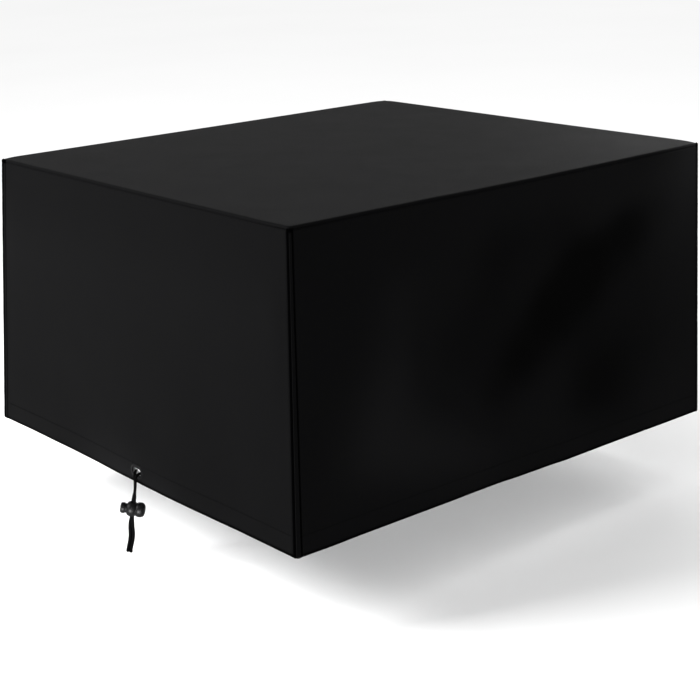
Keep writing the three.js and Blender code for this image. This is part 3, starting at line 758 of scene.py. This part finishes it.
def edge_sag(x, y):
    """How far the top sags at a place, most at its edges."""
    sag = 0.0
    for name, wall in WALLS.items():
        start = CORNERS[wall["start"]]
        out = wall["out"]
        if out.y:
            inset = TOP_WIDTH / 2 - y * out.y
            place = (start["side_x"] * TOP_LENGTH / 2 - x) * start["side_x"] / TOP_LENGTH
        else:
            inset = TOP_LENGTH / 2 - x * out.x
            place = (start["side_y"] * TOP_WIDTH / 2 - y) * start["side_y"] / TOP_WIDTH
        sag += line_at(EDGE_LINES[name], clamp(place)) * bell(max(0.0, inset) / EDGE_SAG_REACH)
    return sag


def waves_at(seed, along, down, length):
    """Shallow waves in the cloth, which fade out at its sewn edges."""
    height = 0.0
    for wave_along, wave_down, wave_height in WAVES:
        height += wave_height * noise_at(along / wave_along, down / wave_down, seed)
    sides = smooth(min(along, length - along) / WAVES_FADE_SIDE)
    return height * (sides * smooth((down - WAVES_FADE_FROM) / WAVES_FADE_DOWN))


def puckers_at(seed, along, down, length):
    """Short ripples beside the seams, finest where the hem is stitched."""
    side = min(along, length - along)
    under = down - WALL_TOP_DOWN
    above = WALL_DROP - down
    ripple = math.sin(TAU * (along / PUCKER_PITCH + drift(along, seed, *PUCKER_WANDER)))
    strength = 0.5 + drift(along, seed, *PUCKER_STRENGTH)
    near_top = bell(under / PUCKER_REACH) * smooth(under / 5)
    near_hem = bell((above - HEM_STITCH_HEIGHT) / PUCKER_REACH) + 0.6 * bell(above / PUCKER_HEM_REACH)
    across = PUCKER_HEIGHT * ripple * strength * (0.7 * near_top + near_hem) * smooth(side / PUCKER_SIDE_FADE)
    rise = math.sin(TAU * (down / (PUCKER_PITCH * 1.15) + drift(down, seed, *PUCKER_SIDE_WANDER)))
    beside = bell((side - PUCKER_SIDE_AT) / PUCKER_SIDE_REACH) * smooth(down / PUCKER_SIDE_FADE_DOWN)
    return across + 0.55 * PUCKER_HEIGHT * rise * beside


def wall_point(name, along, share, inward, detail=1.0):
    """A point of a wall. No hollow reaches further in than the top's edge."""
    wall = WALLS[name]
    out = wall["out"]
    start = corner_at(wall["start"], share)
    end = corner_at(wall["end"], share)
    length = (end - start).length
    point = start.lerp(end, along / length)
    room = max(0.1, point.dot(out) - (TOP_LENGTH if out.x else TOP_WIDTH) / 2)
    down = share * WALL_DROP
    swell = fold_at(name, along, down, length)
    held = -room * math.tanh(-swell / room) if swell < 0 else swell
    seed = 10.0 * list(WALLS).index(name) + 1.7
    fine = waves_at(seed, along, down, length) + puckers_at(seed, along, down, length)
    point.z -= line_at(HEM_LINES[name], along / length) * share * share
    point.z -= line_at(EDGE_LINES[name], clamp(along / length)) * bell(down / EDGE_SAG_REACH)
    return point + out * (held + fine * detail - inward)


def wall_rows():
    """The wall's rows as (down, inward, turned up): down its face, round the hem and up inside."""
    rows = [(down, inward, False) for down, inward in WALL_MARGIN]
    for down in stations(WALL_TOP_DOWN, FACE_ROWS):
        sewn = bell((down - WALL_TOP_DOWN) / TOP_SEAM_DIP["reach"])
        stitched = bell((WALL_DROP - down - HEM_STITCH_HEIGHT) / HEM_SEAM_DIP["reach"])
        rows.append((down, TOP_SEAM_DIP["depth"] * sewn + HEM_SEAM_DIP["depth"] * stitched, False))
    for step in range(1, HEM_ROLL_STEPS):
        angle = math.pi * step / HEM_ROLL_STEPS
        down = WALL_DROP - HEM_ROLL_RADIUS + HEM_ROLL_RADIUS * math.sin(angle)
        rows.append((down, HEM_ROLL_RADIUS * (1 - math.cos(angle)), False))
    sewn_to_face = 2 * CLOTH_THICK + HEM_SLACK + HEM_STITCH_DIP
    for above in stations(HEM_ROLL_RADIUS, INSIDE_ROWS):
        closing = smooth((above - HEM_CLOSES_FROM) / HEM_CLOSES_OVER)
        rows.append((WALL_DROP - above, mix(2 * HEM_ROLL_RADIUS, sewn_to_face, closing), True))
    return rows


def wall_columns(length, pocket):
    """Where a wall's columns stand at the hem, between those of its sewn ends."""
    runs = [(length - COLUMNS_FROM, COLUMN_PITCH)]
    if pocket:
        low = EYELET_ALONG - EYELET_COLUMNS["reach"]
        high = EYELET_ALONG + EYELET_COLUMNS["reach"]
        runs = [(low, COLUMN_PITCH), (high, EYELET_COLUMNS["pitch"]), *runs]
    return stations(COLUMNS_FROM, runs)


def pocket_at(along, above_hem):
    """How far the hem's turned-up layer stands off round the eyelet. It shows through the opening."""
    across = (along - EYELET_ALONG) / POCKET_HALF_LENGTH
    up = (above_hem - EYELET_ABOVE_HEM) / POCKET_HALF_HEIGHT
    if abs(across) >= 1 or abs(up) >= 1:
        return 0.0
    bulge = POCKET_DEPTH * math.cos(across * math.pi / 2) * math.sqrt(1 - up * up)
    if bulge > POCKET_SHOWS:
        behind = bell((along - EYELET_ALONG - POCKET_SHOWS_SHIFT) / POCKET_SHOWS_REACH)
        behind *= smooth((above_hem - POCKET_SHOWS_FROM) / POCKET_SHOWS_RISE)
        bulge = mix(bulge, POCKET_SHOWS, behind)
    return bulge


def faces_in_eyelet(rows, count, uvs):
    """The faces that the eyelet's hole takes out of a wall's face, as (row, column)."""
    inside = set()
    for r, (down, _, turned_up) in enumerate(rows[:-1]):
        if turned_up:
            continue
        up = WALL_DROP - (down + rows[r + 1][0]) / 2 - EYELET_ABOVE_HEM
        for c in range(count - 1):
            first = r * count + c
            along = (uvs[first][0] + uvs[first + 1][0]) / 2 / MM
            side = max(0.0, abs(along - EYELET_ALONG) - EYELET_STRAIGHT)
            if math.hypot(side, up) < EYELET_RADIUS + EYELET_CUT:
                inside.add((r, c))
    return inside


def add_wall(name):
    pocket = name == "left"
    rows = wall_rows()
    lengths = [wall_length(name, share) for share in (0, 1)]
    columns = wall_columns(lengths[1], pocket)
    count = len(columns) + 2 * len(WALL_ENDS)
    points = []
    uvs = []
    painted_hollow_shades = []
    painted_crest_lights = []
    travelled = 0.0
    before = None
    for down, row_inward, turned_up in rows:
        share = down / WALL_DROP
        length = mix(lengths[0], lengths[1], share)
        ends = [(corner_radius(share) + past, dip) for past, dip in WALL_ENDS]
        span = length - 2 * COLUMNS_FROM
        if pocket:
            added = length - lengths[1]
            middle = [(place + added * smooth((place - COLUMNS_FROM) / span), 0) for place in columns]
        else:
            fit = span / (lengths[1] - 2 * COLUMNS_FROM)
            middle = [(COLUMNS_FROM + (place - COLUMNS_FROM) * fit, 0) for place in columns]
        spot = (down, row_inward)
        if before is not None:
            travelled += math.dist(spot, before)
        before = spot
        for along, dip in [*ends, *middle, *[(length - place, dip) for place, dip in reversed(ends)]]:
            inward = row_inward + dip * HEM_DIP_SHARE if turned_up else max(row_inward, dip)
            bulge = pocket_at(along, WALL_DROP - down) if pocket and turned_up else 0.0
            if bulge > 0:
                inward = max(inward, CLOTH_THICK + POCKET_GAP + bulge + CLOTH_THICK)
            points.append(wall_point(name, along, share, inward))
            uvs.append((along * MM, -travelled * MM))
            # The folds' painted shade and light: how dark the colour is painted where the cloth sinks in, and
            # how light where it swells out
            swell = fold_at(name, along, down, length)
            painted_hollow_shades.append(smooth(-swell / HOLLOW_FULL) * FOLD_SHADE[name])
            painted_crest_lights.append(smooth(swell / CREST_FULL) * FOLD_SHADE[name])
    skip = faces_in_eyelet(rows, count, uvs) if pocket else set()
    slots = []
    for r, (down, _, turned_up) in enumerate(rows[:-1]):
        # The band at the hem's lower edge takes the very dark cloth, as painted shade
        in_painted_hem_shade = down > WALL_DROP - HEM_EDGE_HEIGHT - 0.1 and not turned_up
        slots += [2 if in_painted_hem_shade else 0 for c in range(count - 1) if (r, c) not in skip]
    faces = grid_faces(len(rows), count, skip)
    piece = add_piece(f"{name}_wall_cloth", points, faces, [CLOTH, COATED, EDGE_SHADE_PAINT, COATED], uvs, slots)
    # Stored as attributes that paint the cloth's shade and light
    for label, values in (("hollow", painted_hollow_shades), ("crest", painted_crest_lights)):
        layer = piece.data.attributes.new(name=label, type="FLOAT", domain="POINT")
        layer.data.foreach_set("value", values)
    thicken(piece)
    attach(piece, COVER_BODY)
    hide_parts(f"{name}_wall")


# The top


def top_height(x, y):
    """How high the top's cloth lies over its flat: it is taut, with faint waves."""
    edge = min(TOP_LENGTH / 2 - abs(x), TOP_WIDTH / 2 - abs(y))
    wave = sum(height * noise_at(x / length, y / length, seed) for height, length, seed in TOP_WAVES)
    return wave * smooth(edge / TOP_WAVES_FADE)


def rim_place(inset):
    """How far inside the top's outline a place of the flat cloth comes to lie, and its height."""
    if inset >= EDGE_RADIUS:
        return inset, TOP_Z
    angle = (1 - inset / EDGE_RADIUS) * math.pi / 2
    return EDGE_RADIUS * (1 - math.sin(angle)), TOP_Z - EDGE_RADIUS * (1 - math.cos(angle))


def top_point(a, b):
    """A point of the top, from its place on the flat cloth. Only the front left corner doesn't droop."""
    half_x = TOP_LENGTH / 2
    half_y = TOP_WIDTH / 2
    radius = CORNER_RADIUS_TOP
    side_x = math.copysign(1, a)
    side_y = math.copysign(1, b)
    inset_x = half_x - abs(a)
    inset_y = half_y - abs(b)
    droop = 0.0
    if side_x > 0 or side_y > 0:
        droop_x = inset_x / CORNER_DROOP_REACH
        droop_y = inset_y / CORNER_DROOP_REACH
        droop = CORNER_DROOP * math.exp(-(droop_x ** 2 + droop_y ** 2) * CORNER_DROOP_FALL)
    if inset_x < radius and inset_y < radius:
        p = radius - inset_x
        q = radius - inset_y
        angle = math.pi / 4 * (q / p) if p >= q else math.pi / 2 - math.pi / 4 * (p / q)
        inset, z = rim_place(radius - max(p, q))
        distance = radius - inset
        x = side_x * (half_x - radius + distance * math.cos(angle))
        y = side_y * (half_y - radius + distance * math.sin(angle))
    else:
        inset_x, z_x = rim_place(inset_x)
        inset_y, z_y = rim_place(inset_y)
        x = side_x * (half_x - inset_x)
        y = side_y * (half_y - inset_y)
        z = min(z_x, z_y) + top_height(x, y)
    return Vector((x, y, z - droop - edge_sag(x, y)))


def add_top():
    lattice = []
    for half in (TOP_LENGTH / 2, TOP_WIDTH / 2):
        inner = between(CORNER_RADIUS_TOP, half, TOP_PITCH)
        low = [-(half - inset) for inset in (*TOP_RIM, *inner[1:])]
        lattice.append(low + [-place for place in reversed(low[:-1])])
    points = [top_point(a, b) for b in lattice[1] for a in lattice[0]]
    uvs = [(a * MM, b * MM) for b in lattice[1] for a in lattice[0]]
    columns, rows = [len(places) for places in lattice]
    faces = [tuple(reversed(face)) for face in grid_faces(rows, columns)]
    border = (
        list(range(columns))
        + [r * columns + columns - 1 for r in range(1, rows)]
        + [(rows - 1) * columns + c for c in range(columns - 2, -1, -1)]
        + [r * columns for r in range(rows - 2, 0, -1)]
    )
    outline = [points[i] for i in border]
    outward = []
    for before, after in zip([outline[-1], *outline], [*outline[1:], outline[0]]):
        way = after - before
        outward.append(Vector((way.y, -way.x, 0)).normalized())
    previous = border
    for inset, z in TOP_TUCKED:
        ring = range(len(points), len(points) + len(border))
        for i, edge, out in zip(border, outline, outward):
            spot = edge - out * inset
            drooped = edge.z - (TOP_Z - EDGE_RADIUS)
            points.append(Vector((spot.x, spot.y, z + drooped)))
            uvs.append(uvs[i])
        for i in range(len(border)):
            j = (i + 1) % len(border)
            faces.append((previous[i], ring[i], ring[j], previous[j]))
        previous = ring
    piece = add_piece("top_cloth", points, faces, [CLOTH, COATED], uvs)
    thicken(piece)
    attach(piece, COVER_BODY)
    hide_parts("top_panel")


# Seams, bindings and stitches


def add_top_seam(name):
    """The narrow dark welt between the top's edge and one wall."""
    out = WALLS[name]["out"]
    middle = (SEAM_TOP_Z + SEAM_LOW_Z) / 2
    half = (SEAM_TOP_Z - SEAM_LOW_Z) / 2
    share = (TOP_Z - middle) / WALL_DROP
    length = wall_length(name, share)
    places = between(CORNER_RADIUS_TOP - 1, length - CORNER_RADIUS_TOP + 1, SEAM_PITCH)
    points = []
    uvs = []
    for along in places:
        base = wall_point(name, along, share, 0, 0)
        sag = line_at(EDGE_LINES[name], along / length)
        ripple = SEAM_RIPPLE["height"] * math.sin(TAU * along / SEAM_RIPPLE["length"])
        ripple += drift(along, 2.2, *SEAM_DRIFT)
        for i, (inward, up) in enumerate(SEAM_SECTION):
            back = SEAM_SET_BACK + inward + ripple * SEAM_RIPPLE["back"]
            height = middle + up * half + ripple * SEAM_RIPPLE["up"] - sag
            points.append(Vector((base.x - out.x * back, base.y - out.y * back, height)))
            uvs.append((along * MM, i * SEAM_POINT_PITCH * MM))
    faces = ring_faces(len(places), len(SEAM_SECTION))
    piece = add_closed_piece(f"{name}_top_seam_welt", points, faces, [WELT], uvs)
    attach(piece, COVER_BODY)
    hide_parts(f"{name}_top_seam")


def binding_centre(name, share):
    """The centre of a rounded corner's arc."""
    corner = CORNERS[name]
    radius = corner_radius(share)
    point = corner_at(name, share)
    return Vector((point.x - corner["side_x"] * radius, point.y - corner["side_y"] * radius, point.z))


def tape_place(share, distance):
    """A tape's place, from a distance: up to 1 round the corner, and then along the wall."""
    radius = corner_radius(share)
    if distance < radius:
        return math.acos(1 - distance / radius) / (math.pi / 2)
    return 1 + (distance - radius) / TAPE_FLAT_UNIT


def tape_places(name, share):
    """Where a tape's dark side, its strip and its dark line end. The dark parts are painted shade."""
    tape = TAPES[name]
    return [tape_place(share, mix(*tape[part], share)) for part in ("dark", "strip", "line")]


def tape_point(name, share, place, lift):
    """A point of a tape that stands proud of the cloth by its lift."""
    lap = TAPES[name]["wall"]
    radius = corner_radius(share)
    if place <= 1:
        angle = (place if WALLS[lap]["out"].y else 1 - place) * math.pi / 2
        x = CORNERS[name]["side_x"] * (radius + lift) * math.cos(angle)
        y = CORNERS[name]["side_y"] * (radius + lift) * math.sin(angle)
        return binding_centre(name, share) + Vector((x, y, 0))
    distance = radius + (place - 1) * TAPE_FLAT_UNIT
    if WALLS[lap]["start"] != name:
        distance = wall_length(lap, share) - distance
    return wall_point(lap, distance, share, -lift)


def tape_section(name, share):
    """The tape's outside at one height: rows of place, lift and whether the part after it is painted dark, as
    shade.
    """
    groove, strip_end, line_end = tape_places(name, share)
    section = [(groove * part, lift, True) for part, lift in TAPE_DARK_SIDE]
    section[-1] = (groove, TAPE_DARK_SIDE[-1][1], False)
    section += [(mix(groove, strip_end, part), lift, False) for part, lift in TAPE_STRIP]
    section[-1] = (strip_end, TAPE_STRIP[-1][1], True)
    section += [(mix(strip_end, line_end, part), lift, True) for part, lift in TAPE_LINE]
    return section


def tape_ripple(name, down, place):
    """Small waves in the tape, and the pull of its stitches."""
    seed = 3.0 * list(CORNERS).index(name)
    pull = math.sin(TAU * down / TAPE_PULL["pitch"] + drift(down, seed, *TAPE_WANDER))
    wave = noise_at(down / TAPE_WAVE["length"], place * 2, seed)
    return TAPE_WAVE["height"] * wave + TAPE_PULL["height"] * pull


def add_binding(name):
    downs = stations(TAPE_TOP_DOWN, TAPE_ROWS)
    points = []
    uvs = []
    slots = []
    for down in downs:
        share = down / WALL_DROP
        end = min(down - TAPE_TOP_DOWN, WALL_DROP - down)
        tuck = 1.0 - math.sqrt(clamp(end / TAPE_END_REACH))
        above = max(0.0, 1 - down / EDGE_RADIUS)
        over_edge = EDGE_RADIUS * (1 - math.sqrt(1 - above ** 2))
        section = tape_section(name, share)
        outer = []
        inner = []
        for place, lift, _ in section:
            ripple = tape_ripple(name, down, place) if lift > 0 else 0
            lift += ripple - over_edge - TAPE_END_TUCK * tuck
            outer.append(tape_point(name, share, place, lift))
            under = TAPE_UNDER if place <= 1 else -CLOTH_THICK / 2
            inner.append(tape_point(name, share, place, min(under, lift - TAPE_LEAST_THICK)))
        points += outer + inner[::-1]
        across = [line_length(outer[:i + 1]) for i in range(len(outer))]
        uvs += [(u * MM, down * MM) for u in across + across[::-1]]
        if down < downs[-1]:
            # Painted shade: the dark parts take the very dark cloth. The whole tape takes it near its top end
            # too.
            dark = [1 if row[2] or down < TAPE_DARK_TOP else 0 for row in section[:-1]]
            slots += dark + [1] * (len(outer) + 1)
    faces = ring_faces(len(downs), 2 * len(outer))
    slots += [1] * (len(faces) - len(slots))
    piece = add_closed_piece(f"{name}_binding_tape", points, faces, [BINDING, EDGE_SHADE_PAINT], uvs, slots)
    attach(piece, COVER_BODY)
    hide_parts(f"{name}_corner_binding")


def add_stitches(name, rows, size):
    """Stitches in one piece, each from its two ends and the way out of the cloth."""
    points = []
    faces = []
    stitch_faces = ring_faces(len(STITCH_RINGS), STITCH_SIDES)
    for start, end, out in rows:
        along = end - start
        side = along.cross(out).normalized()
        first = len(points)
        for share, lift, width in STITCH_RINGS:
            middle = start + along * share + out * (size * lift)
            for angle in range(0, 360, 360 // STITCH_SIDES):
                turn = math.radians(angle)
                around = side * math.cos(turn) + out * math.sin(turn)
                points.append(middle + around * (size / 2 * width))
        faces += [tuple(first + i for i in face) for face in stitch_faces]
    piece = add_closed_piece(name, points, faces, [THREAD])
    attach(piece, COVER_BODY)


def hem_stitches(name):
    """One row along a wall's hem."""
    share = (WALL_DROP - HEM_STITCH_HEIGHT) / WALL_DROP
    length = wall_length(name, share)
    rows = []
    along = HEM_STITCH["margin"]
    while along < length - HEM_STITCH["margin"]:
        ends = [
            wall_point(name, along + reach, share, HEM_STITCH_DIP - HEM_STITCH["lift"])
            for reach in (0, HEM_STITCH["length"])
        ]
        rows.append((*ends, WALLS[name]["out"]))
        along += HEM_STITCH["pitch"]
    return rows


def binding_stitches(name):
    """Two rows, close to both edges of the tape's strip."""
    rows = []
    for across in TAPE_STITCH_LINES:
        down = TAPE_DARK_TOP + 1.0
        while down < WALL_DROP - TAPE_STITCH["margin"]:
            ends = []
            for reach in (0, TAPE_STITCH["length"]):
                share = (down + reach) / WALL_DROP
                groove, strip_end, _ = tape_places(name, share)
                place = mix(groove, strip_end, across)
                ripple = tape_ripple(name, down + reach, place)
                ends.append(tape_point(name, share, place, TAPE_STITCH["lift"] + ripple))
            out = (ends[0] - binding_centre(name, down / WALL_DROP)).normalized()
            rows.append((*ends, out))
            down += TAPE_STITCH["pitch"]
    return rows


# The eyelet, the drawcord and the cord lock


def add_eyelet():
    share = 1 - EYELET_ABOVE_HEM / WALL_DROP
    centre = wall_point("left", EYELET_ALONG, share, 0, 0)
    below = wall_point("left", EYELET_ALONG, share + 0.02, 0, 0)
    before = wall_point("left", EYELET_ALONG - 10, share, 0, 0)
    side = (before - centre).normalized()
    out = (centre - below).cross(side).normalized()
    place = placed(centre, out, side.cross(out), side)
    section = flat_spline(EYELET_SECTION, EYELET_SECTION_STEPS)
    points = []
    for outside, height in section:
        ring = oval(-EYELET_STRAIGHT, EYELET_STRAIGHT, EYELET_RADIUS + outside, EYELET_STEPS)
        points += [place @ Vector((height, up, across)) for across, up in ring]
    faces = ring_faces(len(section), len(ring), closed=True)
    piece = add_closed_piece("eyelet_ring", points, faces, [METAL])
    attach(piece, COVER_BODY)
    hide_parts("drawcord_eyelet")


def add_strand(name, node, route):
    """One strand: a braided tube on the route of its solid, cut blunt at its end."""
    line = spline(route, CORD_STEPS)
    points = []
    uvs = []
    rings = []
    travelled = 0.0
    side = (line[1] - line[0]).normalized().orthogonal().normalized()
    for i, spot in enumerate(line):
        ahead = line[min(i + 1, len(line) - 1)]
        behind = line[max(i - 1, 0)]
        tangent = (ahead - behind).normalized()
        side = (side - tangent * side.dot(tangent)).normalized()
        if i:
            travelled += (spot - line[i - 1]).length
        rings.append((spot, tangent, side.copy(), travelled))
    last = len(rings) - 1
    shape = [(0, past, narrow) for past, narrow in CORD_END]
    shape += [(i, 0, 1) for i in range(1, last)]
    shape += [(last, -past, narrow) for past, narrow in reversed(CORD_END)]
    for i, shift, narrow in shape:
        spot, tangent, side, along = rings[i]
        up = tangent.cross(side)
        swell = CORD_SWELL * smooth((CORD_SWELLS_BELOW - spot.z) / CORD_SWELLS_OVER)
        fray = drift(along, CORD_SWELL, *CORD_FRAY)
        radius = CORD_DIAMETER / 2 * narrow * (1 + swell + fray)
        for k in range(CORD_SIDES):
            angle = TAU * k / CORD_SIDES
            around = side * math.cos(angle) + up * math.sin(angle)
            points.append(spot + tangent * shift + around * radius)
            uvs.append((k / CORD_SIDES, along * MM))
    piece = add_closed_piece(name, points, ring_faces(len(shape), CORD_SIDES), [CORD], uvs)
    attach(piece, COVER_BODY)
    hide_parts(node)
    return piece, line, travelled


def lathe(name, profile, material):
    """A turned piece of the cord lock: profile points are (u, radius), axis to axis."""
    points = []
    for u, radius in profile:
        for i in range(LOCK_SEGMENTS):
            angle = TAU * i / LOCK_SEGMENTS
            points.append(Vector((u, radius * math.cos(angle), radius * math.sin(angle))))
    return add_closed_piece(name, points, ring_faces(len(profile), LOCK_SEGMENTS), [material])


def cut_cord_hole(piece, stretch):
    """Cuts the hole that the cord passes through, and rounds its edge."""
    ring = oval(0, stretch, CORD_HOLE_RADIUS, CORD_HOLE_STEPS)
    if not stretch:
        del ring[CORD_HOLE_STEPS + 1]
        del ring[-1]
    points = [Vector((x, y, z)) for z in (-CUTTER_REACH, CUTTER_REACH) for x, y in ring]
    cutter = add_closed_piece("cord_hole_cutter", points, ring_faces(2, len(ring)), [])
    add_modifier(piece, "cord_hole", "BOOLEAN", operation="DIFFERENCE", solver="EXACT", object=cutter)
    add_modifier(
        piece, "rounded_edges", "BEVEL", width=CORD_HOLE_BEVEL * MM, segments=3,
        limit_method="ANGLE", angle_limit=CORD_HOLE_BEVEL_ANGLE,
    )
    apply_modifiers(piece)
    bpy.data.objects.remove(cutter)


def apply_modifiers(piece):
    """Makes what the modifiers show the piece's own mesh."""
    depsgraph = bpy.context.evaluated_depsgraph_get()
    mesh = bpy.data.meshes.new_from_object(piece.evaluated_get(depsgraph))
    piece.modifiers.clear()
    piece.data = mesh
    mesh.polygons.foreach_set("use_smooth", [True] * len(mesh.polygons))


def add_cord_lock():
    body = lathe("cord_lock_barrel", [*flat_spline(LOCK_OUTSIDE, LOCK_STEPS), *LOCK_BORE], LOCK)
    cut_cord_hole(body, 0)
    button = lathe("cord_lock_plunger", [*BUTTON_STEM, *flat_spline(BUTTON_HEAD, LOCK_STEPS)], LOCK)
    cut_cord_hole(button, BUTTON_TRAVEL)
    across = Vector((0, 0, 1)).cross(LOCK_AXIS).normalized()
    place = placed(LOCK_CENTRE * MM, LOCK_AXIS, across, LOCK_AXIS.cross(across))
    for piece in (body, button):
        piece.data.transform(place)
        piece.data.update()
    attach(body, COVER_BODY)
    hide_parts("cord_lock_body")
    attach(button, BUTTON_BODY)
    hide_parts("cord_lock_button")
    return body, button


# The camera, the floor and the lights


def add_camera():
    data = bpy.data.cameras.new("camera")
    data.lens = CAMERA_LENS
    data.sensor_width = CAMERA_SENSOR
    data.clip_end = CAMERA_SEES_TO
    camera = add_object("camera", data)
    forward = Vector((
        math.cos(CAMERA_PITCH) * math.cos(CAMERA_YAW),
        math.cos(CAMERA_PITCH) * math.sin(CAMERA_YAW),
        -math.sin(CAMERA_PITCH),
    ))
    right = Vector((math.sin(CAMERA_YAW), -math.cos(CAMERA_YAW), 0))
    up = right.cross(forward)
    tilt_right = right * math.cos(CAMERA_ROLL) + up * math.sin(CAMERA_ROLL)
    tilt_up = up * math.cos(CAMERA_ROLL) - right * math.sin(CAMERA_ROLL)
    camera.matrix_world = placed(CAMERA_PLACE * MM, tilt_right, tilt_up, -forward)
    bpy.context.scene.camera = camera


def add_floor():
    corners = [(x * FLOOR_REACH, y * FLOOR_REACH, FLOOR_Z) for x, y in ((-1, -1), (1, -1), (1, 1), (-1, 1))]
    graph = Graph("pale_floor")
    colour = graph.blend(graph.noise("floor"), *FLOOR_COLOURS)
    material = graph.surface(Base_Color=colour, Roughness=0.9, Specular_IOR_Level=0.0)
    floor = add_piece("floor", corners, [(0, 1, 2, 3)], [material])


def add_light(name, place, target, size, power, spread):
    data = bpy.data.lights.new(name, "AREA")
    data.shape = "RECTANGLE"
    data.size, data.size_y = size
    data.energy = power
    data.spread = math.radians(spread)
    light = add_object(name, data)
    light.location = Vector(place)
    way = Vector(target) - Vector(place)
    light.rotation_euler = way.to_track_quat("-Z", "Y").to_euler()
    light.visible_camera = False


def add_studio():
    world = bpy.data.worlds.new("studio")
    world.use_nodes = True
    background = world.node_tree.nodes["Background"]
    background.inputs["Color"].default_value = (1, 1, 1, 1)
    background.inputs["Strength"].default_value = 1.0
    bpy.context.scene.world = world
    bpy.context.scene.view_settings.view_transform = "Standard"
    for name, light in LIGHTS.items():
        add_light(name, *light)


add_camera()
add_floor()
add_studio()
lock_body, lock_button = add_cord_lock()
left_strand = add_strand("left_strand", "drawcord_left_strand", DRAWCORD_LEFT)
right_strand = add_strand("right_strand", "drawcord_right_strand", DRAWCORD_RIGHT)
add_eyelet()
add_top()
for wall_name in WALLS:
    add_wall(wall_name)
    add_top_seam(wall_name)
for corner_name in CORNERS:
    add_binding(corner_name)
hem_rows = [row for name in WALLS for row in hem_stitches(name)]
add_stitches("hem_stitches", hem_rows, HEM_STITCH["thread"])
tape_rows = [row for name in CORNERS for row in binding_stitches(name)]
add_stitches("binding_stitches", tape_rows, TAPE_STITCH["thread"])
